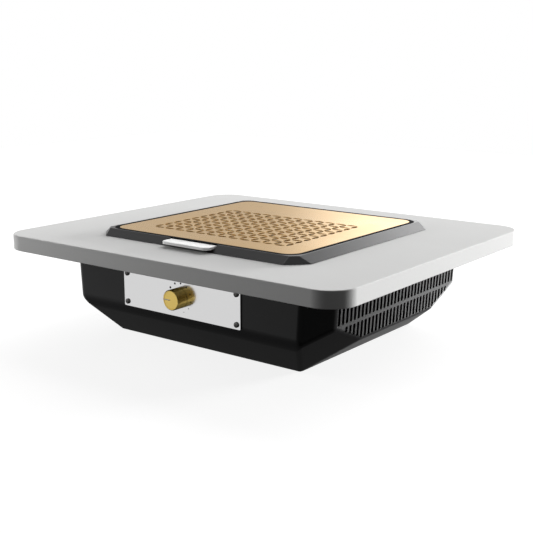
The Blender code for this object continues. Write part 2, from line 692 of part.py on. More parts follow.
def build_filter(white, paper, foam):
    """The cassette frame with its pull tab, the pleated medium and the foam ring."""
    flange_x, flange_y = POCKET_HALF_X - FLANGE_FIT, POCKET_HALF_Y - FLANGE_FIT
    flange_r = POCKET_R - FLANGE_FIT
    inner_x, inner_y = FILTER_HALF_X - FILTER_WALL, FILTER_HALF_Y - FILTER_WALL
    lip_x, lip_y = inner_x - FILTER_LIP, inner_y - FILTER_LIP
    lip_top = FILTER_Z + FILTER_LIP_T
    loops = [
        corner_loop(flange_x, flange_y, flange_r, FLANGE_TOP),
        corner_loop(flange_x, flange_y, flange_r, FLANGE_Z),
        corner_loop(FILTER_HALF_X, FILTER_HALF_Y, FILTER_CORNER_R, FLANGE_Z),
        corner_loop(FILTER_HALF_X, FILTER_HALF_Y, FILTER_CORNER_R, FILTER_Z),
        corner_loop(lip_x, lip_y, FILTER_INNER_R, FILTER_Z),
        corner_loop(lip_x, lip_y, FILTER_INNER_R, lip_top),
        corner_loop(inner_x, inner_y, FILTER_INNER_R, lip_top),
        corner_loop(inner_x, inner_y, FILTER_INNER_R, FLANGE_TOP),
    ]
    frame = skin("filter_frame", loops, white, ring=True)
    root = FILTER_HALF_Y - FILTER_WALL / 2
    join(frame, tab_plate("filter_tab", 0, root, FLANGE_TOP - CLEAR / 2))
    grip_back = CARRIER_HALF_Y + CLEAR
    join(frame, tab_plate("filter_tab_grip", CLEAR / 2, grip_back, FLANGE_TOP + TAB_RISE))

    half_x, half_y = inner_x - CLEAR, inner_y - CLEAR
    top = FLANGE_TOP - MEDIA_BELOW_FLANGE
    rise = top - lip_top - CLEAR - PLEAT_FOLD
    upper = []
    for fold in range(2 * PLEATS + 1):
        y = -half_y + 2 * half_y * fold / (2 * PLEATS)
        upper.append((y, top if fold % 2 else top - rise))
    lower = [(y, z - PLEAT_FOLD) for y, z in reversed(upper)]
    loops = [[(x, y, z) for y, z in upper + lower] for x in (-half_x, half_x)]
    skin("filter_media", loops, paper)

    loops = []
    for half_x, half_y, radius in (
        (flange_x, flange_y, flange_r),
        (BAY_HALF_X + CLEAR, BAY_HALF_Y + CLEAR, BAY_CORNER_R),
    ):
        heights = (SEAL_Z, SEAL_Z + SEAL_T)
        pair = [corner_loop(half_x, half_y, radius, z) for z in heights]
        loops += pair if not loops else reversed(pair)
    skin("filter_seal", loops, foam, ring=True)


def build_well(black, steel):
    """The tub under the worktop, its inlet hole, and the screws that clamp it to the bezel."""
    flange_x, flange_y = BAY_HALF_X + WELL_FLANGE_W, BAY_HALF_Y + WELL_FLANGE_W
    flange_z = HOUSING_H - WELL_FLANGE_T
    outer_r = BAY_CORNER_R + WELL_WALL
    loops = [
        corner_loop(WELL_HALF_X, WELL_HALF_Y, outer_r, WELL_Z),
        corner_loop(WELL_HALF_X, WELL_HALF_Y, outer_r, flange_z),
        corner_loop(flange_x, flange_y, outer_r, flange_z),
        corner_loop(flange_x, flange_y, outer_r, HOUSING_H),
        corner_loop(BAY_HALF_X, BAY_HALF_Y, BAY_CORNER_R, HOUSING_H),
        corner_loop(BAY_HALF_X, BAY_HALF_Y, BAY_CORNER_R, WELL_FLOOR),
    ]
    well = skin("filter_well", loops, black)
    inlet = THROAT_R + BELL_R + 2 * CLEAR
    cut(well, pegs("well_inlet", [(0, 0)], inlet, EYE_TOP, FILTER_Z, steps=ROUND_STEPS))
    spots = four(CLAMP_AT_X, CLAMP_AT_Y)
    hole = CLAMP_SCREW[2] + SCREW_PLAY
    cut(well, pegs("well_clamp_holes", spots, hole, flange_z - CLEAR, WORKTOP_Z))
    for index, spot in enumerate(spots, 1):
        screw(f"clamp_screw_{index}", CLAMP_SCREW, spot, flange_z, steel, up=False)


def build_inlet_ring(black):
    """The bell mouth: a flange on the well's floor and a lip that reaches into the fan's eye."""
    foot = EYE_TOP - EYE_OVERLAP
    under = WELL_FLOOR + CLEAR
    top = under + BELL_T
    outer, inner = [], []
    for step in range(CORNER_STEPS + 1):
        turn = math.radians(90) * step / CORNER_STEPS
        sine, cosine = math.sin(turn), math.cos(turn)
        arc = BELL_R - BELL_T
        outer.append((THROAT_R + BELL_R - arc * cosine, under - arc + arc * sine))
        inner.append((THROAT_R + BELL_R - BELL_R * cosine, top - BELL_R + BELL_R * sine))
    profile = [(THROAT_R + BELL_T, foot), *outer, (BELL_FLANGE_R, under), (BELL_FLANGE_R, top)]
    profile += [*reversed(inner), (THROAT_R, foot)]
    turned("inlet_ring", profile, black, ring=True)


def build_impeller(black, axis):
    """The fan wheel: hub dome and back plate, swept blades, and a shroud round the eye."""
    dome_r = ROTOR_R + SCREW_PLAY
    dome_top = ROTOR_TOP + CLEAR + SHEET_T
    back_top = IMPELLER_Z + SHEET_T
    bore = SHAFT_R + CLEAR
    profile = (
        (IMPELLER_R, IMPELLER_Z),
        (IMPELLER_R, back_top),
        (dome_r + SHEET_T, back_top),
        (dome_r + SHEET_T, dome_top),
        (bore, dome_top),
        (bore, dome_top - SHEET_T),
        (dome_r, dome_top - SHEET_T),
        (dome_r, IMPELLER_Z),
    )
    impeller = turned("impeller", profile, black, ring=True, parent=axis)
    shroud = ((EYE_R, EYE_TOP), (EYE_R, EYE_TOP - SHEET_T))
    shroud += ((IMPELLER_R, EYE_TOP - SHROUD_DROP - SHEET_T), (IMPELLER_R, EYE_TOP - SHROUD_DROP))
    bm = bmesh.new()
    start = EYE_R + BLADE_T / 2
    stop = IMPELLER_R - BLADE_T / 2
    steps = CORNER_STEPS + 2
    for blade in range(BLADES):
        loops = []
        for step in range(steps + 1):
            radius = start + (stop - start) * step / steps
            angle = math.tau * blade / BLADES - BLADE_SWEEP * step / steps
            half = BLADE_SLANT * BLADE_T / 2 / radius
            top = EYE_TOP - SHROUD_DROP * (radius - EYE_R) / (IMPELLER_R - EYE_R) - SHEET_T / 2
            low = back_top - SHEET_T / 2
            loop = []
            for turn, z in ((-half, low), (half, low), (half, top), (-half, top)):
                loop.append((radius * math.cos(angle + turn), radius * math.sin(angle + turn), z))
            loops.append(loop)
        add_skin(bm, loops)
    join(impeller, make("impeller_blades", bm, None, axis))
    join(impeller, turned("impeller_shroud", shroud, None, ring=True, parent=axis))


def build_motor(steel, copper, alloy, axis):
    """The external-rotor motor: base with bearing tube, stator, rotor cup, shaft and bearings."""
    tube_in = BEARING_R + CLEAR
    tube_out = tube_in + TUBE_WALL
    tube_top = ROTOR_TOP - ROTOR_TOP_T - TUBE_GAP
    base_profile = (
        (BASE_R, BASE_Z),
        (BASE_R, BASE_TOP),
        (tube_out, BASE_TOP),
        (tube_out, tube_top),
        (tube_in, tube_top),
        (tube_in, BASE_Z),
    )
    base = turned("motor_base", base_profile, alloy, ring=True)
    spots = []
    for index in range(MOTOR_SCREWS):
        spot = MOTOR_SCREW_CIRCLE * direction(1 + 4 * index / MOTOR_SCREWS)
        spots.append((spot.x, spot.y))
    hole = MOTOR_SCREW[2] + SCREW_PLAY
    cut(base, pegs("base_holes", spots, hole, PLATE_Z, BASE_TOP + CLEAR))
    for index, spot in enumerate(spots, 1):
        screw(f"motor_screw_{index}", MOTOR_SCREW, spot, BASE_TOP, steel)

    rotor_in = ROTOR_R - ROTOR_WALL
    bore = SHAFT_R + CLEAR
    rotor_profile = (
        (ROTOR_R, ROTOR_Z),
        (ROTOR_R, ROTOR_TOP),
        (bore, ROTOR_TOP),
        (bore, ROTOR_TOP - ROTOR_TOP_T),
        (rotor_in, ROTOR_TOP - ROTOR_TOP_T),
        (rotor_in, ROTOR_Z),
    )
    turned("motor_rotor", rotor_profile, steel, ring=True, parent=axis)
    shaft_profile = ((SHAFT_R, BASE_Z + CLEAR), (SHAFT_R, ROTOR_TOP + CLEAR))
    turned("motor_shaft", shaft_profile, steel, steps=2 * SMALL_STEPS, parent=axis)
    for name, low in (("lower_bearing", BASE_TOP), ("upper_bearing", tube_top - BEARING_H)):
        profile = ((BEARING_R, low), (BEARING_R, low + BEARING_H), (bore, low + BEARING_H), (bore, low))
        turned(name, profile, steel, ring=True, steps=SMALL_STEPS * 2)

    tip_r = rotor_in - AIR_GAP
    root_r = (tip_r + tube_out) / 2
    low = BASE_TOP + STATOR_RISE
    outline, inside = [], []
    for tooth in range(STATOR_TEETH):
        for part in range(STATOR_PARTS):
            radius = tip_r if part < STATOR_PARTS / 2 else root_r
            angle = math.tau * (tooth + part / STATOR_PARTS) / STATOR_TEETH
            outline.append((radius * math.cos(angle), radius * math.sin(angle)))
            inside.append(((tube_out + CLEAR) * math.cos(angle), (tube_out + CLEAR) * math.sin(angle)))
    high = low + STATOR_H
    edges = ((outline, low), (outline, high), (inside, high), (inside, low))
    loops = [[(x, y, z) for x, y in points] for points, z in edges]
    skin("motor_stator", loops, copper, ring=True)

    plate_loops = [corner_loop(PLATE_HALF, PLATE_HALF, DAMPER_R, z) for z in (PLATE_Z, PLATE_Z + PLATE_T)]
    plate = skin("motor_plate", plate_loops, steel)
    cut(plate, pegs("plate_motor_holes", spots, hole, DAMPER_Z, BASE_Z))
    damper_spots = four(DAMPER_AT, DAMPER_AT)
    cut(plate, pegs("plate_damper_holes", damper_spots, DAMPER_SCREW[2] + SCREW_PLAY, DAMPER_Z, BASE_Z))
    for index, spot in enumerate(damper_spots, 1):
        screw(f"damper_screw_{index}", DAMPER_SCREW, spot, PLATE_Z + PLATE_T, steel)


def build_dampers(rubber):
    """Rubber rings round the housing's pegs, under the corners of the motor plate."""
    inner = PEG_R + CLEAR
    middle = DAMPER_Z + DAMPER_H / 2
    top = DAMPER_Z + DAMPER_H
    outside = ((DAMPER_R, DAMPER_Z), (DAMPER_WAIST_R, middle), (DAMPER_R, top))
    profile = (*outside, (inner, top), (inner, DAMPER_Z))
    for index, spot in enumerate(four(DAMPER_AT, DAMPER_AT), 1):
        turned(f"damper_{index}", profile, rubber, ring=True, steps=SMALL_STEPS * 2, location=(*spot, 0))


def build_housing(black, steel, panel, inlet):
    """The tray: walls, vents, screw ears, bosses, and the openings for control and inlet."""
    housing = housing_solid("housing", 0, HOUSING_H, black)
    cut(housing, housing_solid("housing_inside", HOUSING_WALL, 2 * HOUSING_H))
    ears = bmesh.new()
    ear_top = HOUSING_H - EAR_DROP
    bite = HOUSING_WALL / 2
    for sx, sy in four(1, 1):
        near_x, near_y = HOUSING_HALF_X - HOUSING_CORNER, HOUSING_HALF_Y - HOUSING_CORNER
        corners = (
            (near_x - bite, HOUSING_HALF_Y - bite),
            (near_x, HOUSING_HALF_Y - CLEAR),
            (HOUSING_HALF_X - EAR_BLUNT, HOUSING_HALF_Y - CLEAR),
            (HOUSING_HALF_X - CLEAR, HOUSING_HALF_Y - EAR_BLUNT),
            (HOUSING_HALF_X - CLEAR, near_y),
            (HOUSING_HALF_X - bite, near_y - bite),
        )
        prism(ears, [(sx * x, sy * y) for x, y in corners], ear_top - EAR_T, ear_top)
    join(housing, make("housing_ears", ears, None))
    root = -HOUSING_WALL / 2
    panel_spots = four(PANEL_SCREW_X, PANEL_SCREW_Y)
    board_spots = [(-BOARD_SCREW_X, 0), (BOARD_SCREW_X, 0)]
    inlet_spots = [(-INLET_SCREW_X, 0), (INLET_SCREW_X, 0)]
    panel_tip = PLATE_FRONT - PANEL_SCREW[3]
    join(housing, pegs("panel_bosses", panel_spots, BOSS_R, panel_tip - CLEAR, root, panel))
    join(housing, pegs("board_bosses", board_spots, BOSS_R, CONTROL_BACK, root, panel))
    join(housing, pegs("inlet_bosses", inlet_spots, BOSS_R, panel_tip - CLEAR, root, inlet))
    damper_spots = four(DAMPER_AT, DAMPER_AT)
    peg_top = DAMPER_Z + DAMPER_H - CLEAR
    join(housing, pegs("damper_pegs", damper_spots, PEG_R, FLOOR_Z / 2, peg_top))

    cut(housing, blocks("housing_vents", vent_slots()))
    out = PLATE_FRONT
    cut(housing, pegs("panel_holes", panel_spots, PANEL_SCREW[2] + SCREW_PLAY, 2 * panel_tip, out, panel))
    board_tip = BOARD_BACK + BOARD_SCREW[3]
    board_hole = BOARD_SCREW[2] + SCREW_PLAY
    cut(housing, pegs("board_holes", board_spots, board_hole, 2 * CONTROL_BACK, board_tip, panel))
    cut(housing, pegs("control_hole", [(0, 0)], BUSH_R + CLEAR, CONTROL_BACK, out, panel, 2 * SMALL_STEPS))
    cut(housing, pegs("inlet_holes", inlet_spots, PANEL_SCREW[2] + SCREW_PLAY, 2 * panel_tip, out, inlet))
    inlet_x, inlet_y = INLET_HALF_X + CLEAR, INLET_HALF_Y + CLEAR
    window = ((-inlet_x, -inlet_y, CONTROL_BACK), (inlet_x, inlet_y, out))
    cut(housing, blocks("inlet_window", [window], inlet))
    peg_hole = PLATE_Z + PLATE_T - DAMPER_SCREW[3]
    cut(housing, pegs("peg_holes", damper_spots, DAMPER_SCREW[2] + SCREW_PLAY, peg_hole, PLATE_Z))
    ear_spots = four(EAR_AT_X, EAR_AT_Y)
    cut(housing, pegs("ear_holes", ear_spots, WOOD_SCREW[2] + SCREW_PLAY, ear_top - 2 * EAR_T, WORKTOP_Z))
    for index, spot in enumerate(ear_spots, 1):
        screw(f"housing_screw_{index}", WOOD_SCREW, spot, ear_top - EAR_T, steel, up=False)


def build_panel(polished, dark_steel, panel):
    """The control plate and its corner screws."""
    loops = [corner_loop(PANEL_HALF_X, PANEL_HALF_Y, PANEL_T, z) for z in (CLEAR, PLATE_FRONT)]
    plate = skin("control_plate", loops, polished, parent=panel)
    spots = four(PANEL_SCREW_X, PANEL_SCREW_Y)
    cut(plate, pegs("plate_screw_holes", spots, PANEL_SCREW[2] + SCREW_PLAY, -CLEAR, 2 * PLATE_FRONT, panel))
    bush_hole = BUSH_R + CLEAR
    cut(plate, pegs("plate_bush_hole", [(0, 0)], bush_hole, -CLEAR, 2 * PLATE_FRONT, panel, 2 * SMALL_STEPS))
    for index, spot in enumerate(spots, 1):
        screw(f"panel_screw_{index}", PANEL_SCREW, spot, PLATE_FRONT, dark_steel, panel)


def build_knob(brass, steel, panel):
    """The knurled knob with its pointer groove, the set screw, and the control's shaft."""
    low = PLATE_FRONT + KNOB_GAP
    high = low + KNOB_L
    edge = KNURL_DEPTH
    recess_r = NUT_FLAT / math.sqrt(3) + 2 * CLEAR
    recess_top = BUSH_L + 2 * CLEAR
    bore = CONTROL_SHAFT_R + CLEAR
    steps = 2 * KNURLS

    def knurled(z):
        radii = [KNOB_R - (KNURL_DEPTH if step % 2 else 0) for step in range(steps)]
        turns = [math.tau * step / steps for step in range(steps)]
        return [(r * math.cos(a), r * math.sin(a), z) for r, a in zip(radii, turns)]

    smooth_r = KNOB_R - KNURL_DEPTH
    loops = [circle(recess_r, recess_top, steps), circle(recess_r, low, steps), circle(smooth_r, low, steps)]
    loops += [knurled(low + edge), knurled(high - edge), circle(smooth_r, high, steps)]
    knob = skin("knob", loops, brass, parent=panel)
    cut(knob, pegs("knob_bore", [(0, 0)], bore, low, high - KNOB_TOP, panel, 2 * SMALL_STEPS))
    groove = ((-2 * KNOB_R, -POINTER_W / 2, high - POINTER_DEPTH), (0, POINTER_W / 2, 2 * high))
    cut(knob, blocks("knob_pointer", [groove], panel))
    across = (math.radians(90), 0, 0)
    middle = (recess_top + high - KNOB_TOP) / 2
    hole = ((SET_SCREW_R + CLEAR, CONTROL_SHAFT_R), (SET_SCREW_R + CLEAR, 2 * KNOB_R))
    placing = {"parent": panel, "location": (0, 0, middle), "rotation": across, "steps": SMALL_STEPS}
    cut(knob, turned("knob_set_hole", hole, None, **placing))
    start = CONTROL_SHAFT_R + CLEAR
    turned("knob_set_screw", ((SET_SCREW_R, start), (SET_SCREW_R, start + SET_SCREW_L)), steel, **placing)
    shaft_top = high - KNOB_TOP - CLEAR
    profile = ((CONTROL_SHAFT_R, shaft_top - CONTROL_SHAFT_L), (CONTROL_SHAFT_R, shaft_top))
    turned("speed_control_shaft", profile, steel, parent=panel, steps=2 * SMALL_STEPS)


def build_controls(alloy, steel, green, dark, panel):
    """What is behind the panel: the speed control, its nut, the board and what it carries."""
    wall_back = -HOUSING_WALL - CLEAR
    bore = CONTROL_SHAFT_R + CLEAR
    shaft_top = PLATE_FRONT + KNOB_GAP + KNOB_L - KNOB_TOP - CLEAR
    bore_floor = shaft_top - CONTROL_SHAFT_L - CLEAR
    profile = (
        (CONTROL_R, CONTROL_BACK),
        (CONTROL_R, wall_back),
        (BUSH_R, wall_back),
        (BUSH_R, BUSH_L),
        (bore, BUSH_L),
        (bore, bore_floor),
    )
    turned("speed_control", profile, alloy, parent=panel, steps=2 * SMALL_STEPS)
    nut_low = PLATE_FRONT + CLEAR
    hexagon = circle(NUT_FLAT / math.sqrt(3), 0, 6)
    bm = bmesh.new()
    prism(bm, [(x, y) for x, y, _ in hexagon], nut_low, nut_low + NUT_T)
    nut = make("speed_control_nut", bm, steel, panel)
    cut(nut, pegs("nut_bore", [(0, 0)], BUSH_R + CLEAR, 0, 2 * BUSH_L, panel, 2 * SMALL_STEPS))

    bm = bmesh.new()
    block(bm, (-BOARD_HALF_X, -BOARD_HALF_Y, BOARD_BACK), (BOARD_HALF_X, BOARD_HALF_Y, BOARD_BACK + BOARD_T))
    board = make("control_board", bm, green, panel)
    spots = [(-BOARD_SCREW_X, 0), (BOARD_SCREW_X, 0)]
    hole = BOARD_SCREW[2] + SCREW_PLAY
    cut(board, pegs("board_screw_holes", spots, hole, 2 * BOARD_BACK, CONTROL_BACK, panel))
    for index, spot in enumerate(spots, 1):
        screw(f"board_screw_{index}", BOARD_SCREW, spot, BOARD_BACK, steel, panel, up=False)
    seat = BOARD_BACK - CLEAR
    profile = ((CAPACITOR_R, seat - CAPACITOR_L), (CAPACITOR_R, seat))
    turned("capacitor", profile, dark, parent=panel, steps=2 * SMALL_STEPS, location=(CAPACITOR_X, 0, 0))
    bm = bmesh.new()
    half = TERMINAL / 2
    middle = Vector((TERMINAL_X, TERMINAL_Y, seat - half.z))
    block(bm, middle - half, middle + half)
    make("terminal_block", bm, green, panel)


def build_inlet(black, brass, steel, inlet):
    """The power inlet: a flanged socket through the back wall, with three contacts."""
    bm = bmesh.new()
    mouth = CLEAR + INLET_FLANGE_T
    back = (-INLET_HALF_X, -INLET_HALF_Y, -INLET_DEPTH)
    block(bm, back, (INLET_HALF_X, INLET_HALF_Y, mouth - INLET_FLANGE_T / 2))
    socket = make("power_inlet", bm, black, inlet)
    loops = [
        corner_loop(INLET_FLANGE_HALF_X, INLET_FLANGE_HALF_Y, INLET_FLANGE_T, z) for z in (CLEAR, mouth)
    ]
    join(socket, skin("inlet_flange", loops, None, parent=inlet))
    cave_x, cave_y = INLET_HALF_X - INLET_WALL, INLET_HALF_Y - INLET_WALL
    floor = INLET_FLOOR - INLET_DEPTH
    cut(socket, blocks("inlet_cave", [((-cave_x, -cave_y, floor), (cave_x, cave_y, 2 * mouth))], inlet))
    half_x, half_y = CONTACT_HALF_X + CLEAR, CONTACT_HALF_Y + CLEAR
    seats = []
    for index, (x, y) in enumerate(CONTACTS, 1):
        seats.append(((x - half_x, y - half_y, floor - CONTACT_SEAT), (x + half_x, y + half_y, 0)))
        low = floor - CONTACT_SEAT + CLEAR
        bm = bmesh.new()
        near = (x - CONTACT_HALF_X, y - CONTACT_HALF_Y, low)
        block(bm, near, (x + CONTACT_HALF_X, y + CONTACT_HALF_Y, low + CONTACT_L))
        make(f"inlet_contact_{index}", bm, brass, inlet)
    cut(socket, blocks("inlet_contact_seats", seats, inlet))
    spots = [(-INLET_SCREW_X, 0), (INLET_SCREW_X, 0)]
    cut(socket, pegs("inlet_screw_holes", spots, PANEL_SCREW[2] + SCREW_PLAY, -mouth, 2 * mouth, inlet))
    for index, spot in enumerate(spots, 1):
        screw(f"inlet_screw_{index}", PANEL_SCREW, spot, mouth, steel, inlet)


def main():
    """Clears the scene and builds the collector from the top down."""
    for obj in list(bpy.data.objects):
        bpy.data.objects.remove(obj)
    grey = finish("grey_laminate", (0.62, 0.62, 0.61), 0.45)
    black = finish("black_plastic", (0.02, 0.02, 0.022), 0.4)
    gold = finish("gold_plate", (0.83, 0.62, 0.36), 0.3, 1)
    white = finish("white_plastic", (0.86, 0.86, 0.84), 0.45)
    paper = finish("filter_paper", (0.85, 0.85, 0.82), 0.9)
    foam = finish("foam", (0.05, 0.05, 0.05), 0.95)
    rubber = finish("rubber", (0.03, 0.03, 0.03), 0.8)
    steel = finish("steel", (0.6, 0.6, 0.6), 0.35, 1)
    dark_steel = finish("dark_steel", (0.12, 0.12, 0.12), 0.3, 1)
    polished = finish("polished_plate", (0.85, 0.85, 0.86), 0.12, 1)
    brass = finish("brass", (0.75, 0.55, 0.2), 0.28, 1)
    copper = finish("copper", (0.6, 0.3, 0.18), 0.4, 1)
    alloy = finish("cast_alloy", (0.55, 0.55, 0.56), 0.5, 1)
    green = finish("board_green", (0.05, 0.2, 0.1), 0.5)
    dark = finish("can_sleeve", (0.03, 0.03, 0.06), 0.4)

    fan_axis = empty("fan_axis")
    panel = empty("panel_frame", (0, -HOUSING_HALF_Y, PANEL_Z), (math.radians(90), 0, 0))
    inlet = empty("inlet_frame", (INLET_X, HOUSING_HALF_Y, PANEL_Z), (math.radians(90), 0, math.pi))

    build_worktop(grey)
    build_bezel(black)
    build_grille(gold, black)
    build_filter(white, paper, foam)
    build_well(black, steel)
    build_inlet_ring(black)
    build_impeller(black, fan_axis)
    build_motor(steel, copper, alloy, fan_axis)
    build_dampers(rubber)
    build_housing(black, steel, panel, inlet)
    build_panel(polished, dark_steel, panel)
    build_knob(brass, steel, panel)
    build_controls(alloy, steel, green, dark, panel)
    build_inlet(black, brass, steel, inlet)
    lead("motor_lead", MOTOR_LEAD_ROUTE, MOTOR_LEAD_D, dark)
    lead("mains_lead", MAINS_LEAD_ROUTE, MAINS_LEAD_D, dark)


main()
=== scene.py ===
"""Looks of a nail dust collector: fine shapes, finishes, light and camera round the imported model."""

import json
import logging
import math
from contextlib import contextmanager
from dataclasses import dataclass
from enum import Enum
from typing import Callable, Iterator, Optional, Sequence

import bmesh
import bpy
from mathutils import Matrix, Vector


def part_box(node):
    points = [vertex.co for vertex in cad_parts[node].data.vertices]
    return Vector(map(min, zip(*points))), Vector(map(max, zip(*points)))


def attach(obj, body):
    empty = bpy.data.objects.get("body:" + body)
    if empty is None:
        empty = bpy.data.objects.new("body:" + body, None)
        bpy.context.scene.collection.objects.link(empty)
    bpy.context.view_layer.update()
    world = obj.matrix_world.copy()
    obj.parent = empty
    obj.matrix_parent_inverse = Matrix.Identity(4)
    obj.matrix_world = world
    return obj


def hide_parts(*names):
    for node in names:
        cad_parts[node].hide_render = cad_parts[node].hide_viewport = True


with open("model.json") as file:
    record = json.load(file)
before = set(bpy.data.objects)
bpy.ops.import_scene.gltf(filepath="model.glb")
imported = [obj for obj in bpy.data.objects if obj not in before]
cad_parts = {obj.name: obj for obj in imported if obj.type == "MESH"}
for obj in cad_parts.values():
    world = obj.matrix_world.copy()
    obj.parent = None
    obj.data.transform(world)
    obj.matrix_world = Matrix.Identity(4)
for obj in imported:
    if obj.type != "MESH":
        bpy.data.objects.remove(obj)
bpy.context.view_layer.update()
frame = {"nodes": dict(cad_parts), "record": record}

LOG = logging.getLogger("collector")
MM = 0.001
TINY = 0.01 * MM
# How far a piece reaches past another where the two are cut or joined
PAST = 1 * MM
ROUND = 96
SMOOTH_ANGLE = 38
# How much of a surface's unevenness is its fine grain, and how often the rest repeats in a metre
FINE_SHARE = 0.65
SLOW_SCALE = 22
CORNERS = ((1, 1), (-1, 1), (-1, -1), (1, -1))

Piece = bpy.types.Object
Socket = bpy.types.NodeSocket
Spot = tuple[float, float]
Way = tuple[float, float, float]
Place = Sequence[float]
Test = Callable[[Vector, Vector], bool]


def upright(start: Vector, end: Vector) -> bool:
    """Tells whether an edge between two points runs up and down."""
    return abs(start.z - end.z) > TINY


def lengthwise(start: Vector, end: Vector) -> bool:
    """Tells whether an edge between two points runs from front to back."""
    return abs(start.y - end.y) > TINY


def four(x: float, y: float) -> list[Spot]:
    """Lists the four spots that lie this far from the middle."""
    return [(sx * x, sy * y) for sx, sy in CORNERS]


def arc(middle: Spot, radius: float, first: float, last: float, steps: int) -> list[Spot]:
    """Lists the points of an arc from one angle to another, in degrees."""
    turns = [math.radians(first + (last - first) * step / steps) for step in range(steps + 1)]
    return [(middle[0] + radius * math.cos(turn), middle[1] + radius * math.sin(turn)) for turn in turns]


class Net:
    """A node tree, and short ways to add to it."""

    def __init__(self, tree: bpy.types.NodeTree) -> None:
        """Keeps the tree."""
        self.tree = tree

    def feed(self, node: bpy.types.Node, inputs: dict) -> None:
        """Gives a node's inputs a value each, or the socket of another node.

        Args:
            node: The node.
            inputs: What each input gets, by the input's name or number.
        """
        for key, value in inputs.items():
            if isinstance(value, Socket):
                self.tree.links.new(value, node.inputs[key])
            else:
                node.inputs[key].default_value = value

    def add(self, kind: str, inputs: Optional[dict] = None, **settings: str) -> bpy.types.bpy_prop_collection:
        """Adds a node.

        Args:
            kind: The last part of its type's name.
            inputs: What its inputs get.
            settings: Its settings.

        Returns:
            Its outputs.
        """
        node = self.tree.nodes.new(f"ShaderNode{kind}")
        for key, value in settings.items():
            setattr(node, key, value)
        self.feed(node, inputs or {})
        return node.outputs

    def work(self, operation: str, first: Socket, *others: Socket) -> Socket:
        """Works out one level from several.

        Args:
            operation: What is done with two of them at a time.
            first: The first level.
            others: The others, in order.

        Returns:
            The socket that gives the result.
        """
        for other in others:
            first = self.add("Math", {0: first, 1: other}, operation=operation)[0]
        return first

    def ramp(self, value: Socket, first: float, last: float, start: float = 0, end: float = 1) -> Socket:
        """Goes smoothly from the first level to the last while a value goes from start to end."""
        inputs = {"Value": value, "From Min": start, "From Max": end, "To Min": first, "To Max": last}
        return self.add("MapRange", inputs, interpolation_type="SMOOTHSTEP")[0]


class Grain(Enum):
    """What a surface is like close up: how often its grain repeats along X, Y and Z, in a metre."""

    MOULDED = (1800, 1800, 1800)
    SPECKLED = (900, 900, 900)
    BRUSHED = (18, 2600, 2600)
    POLISHED = (25, 900, 900)
    TURNED = (1500, 1500, 1500)
    CAST = (700, 700, 700)
    FIBRE = (500, 1400, 500)


@dataclass(frozen=True)
class Finish:
    """A procedural surface in an object's own coordinates.

    Attributes:
        contrast: How far the grain darkens and lightens the colour.
        uneven: How far the roughness strays from its mean.
        relief: Height of the grain, in metres.
        stretch: How far a highlight is drawn out across the brushing.
    """

    name: str
    colour: Way
    roughness: float
    grain: Grain = Grain.MOULDED
    metallic: float = 0.0
    specular: float = 0.5
    contrast: float = 0.1
    uneven: float = 0.05
    relief: float = 0.004 * MM
    stretch: float = 0.0

    def material(self) -> bpy.types.Material:
        """Builds the material the first time, and hands out the same one afterwards.

        Returns:
            The material.
        """
        known = bpy.data.materials.get(self.name)
        if known:
            return known
        material = bpy.data.materials.new(self.name)
        material.use_nodes = True
        net = Net(material.node_tree)
        place = net.add("TexCoord")["Object"]
        fine = self.fine_grain(net, place)
        slow = net.add("TexNoise", {"Vector": place, "Scale": SLOW_SCALE, "Detail": 3})[0]
        slow = net.add("Math", {0: slow, 1: 1 - FINE_SHARE}, operation="MULTIPLY")[0]
        both = net.add("Math", {0: fine, 1: FINE_SHARE, 2: slow}, operation="MULTIPLY_ADD")[0]
        factors = (1 - self.contrast, 1 + self.contrast)
        dark, light = ((*(min(1, part * factor) for part in self.colour), 1) for factor in factors)
        limits = {
            "From Min": 0.3,
            "From Max": 0.7,
            "To Min": max(0.02, self.roughness - self.uneven),
            "To Max": min(1, self.roughness + self.uneven),
        }
        shader = net.tree.nodes["Principled BSDF"]
        net.feed(shader, {
            "Metallic": self.metallic,
            "Specular IOR Level": self.specular,
            "Anisotropic": self.stretch,
            "Base Color": net.add("Mix", {0: both, 6: dark, 7: light}, data_type="RGBA")[2],
            "Roughness": net.add("MapRange", {"Value": both, **limits})[0],
            "Normal": net.add("Bump", {"Strength": 1, "Distance": self.relief, "Height": fine})["Normal"],
        })
        if self.stretch:
            axis = "Y" if self.grain is Grain.TURNED else "X"
            net.feed(shader, {"Tangent": net.add("Tangent", direction_type="RADIAL", axis=axis)[0]})
        return material

    def fine_grain(self, net: Net, place: Socket) -> Socket:
        """Adds the grain's own texture.

        Args:
            net: The material's nodes.
            place: The object's own coordinates.

        Returns:
            The socket that gives the grain, from 0 to 1.
        """
        if self.grain is Grain.TURNED:
            spot = net.add("Mapping", {"Vector": place, "Location": (0, 0, -Panel.height)})[0]
            inputs = {"Vector": spot, "Scale": self.grain.value[0], "Distortion": 0.6}
            return net.add("TexWave", inputs, wave_type="RINGS", rings_direction="Y")[1]
        spot = net.add("Mapping", {"Vector": place, "Scale": self.grain.value})[0]
        detail, distortion = (6, 1.5) if self.grain is Grain.FIBRE else (2, 0)
        inputs = {"Vector": spot, "Scale": 1, "Detail": detail, "Distortion": distortion}
        return net.add("TexNoise", inputs)[0]


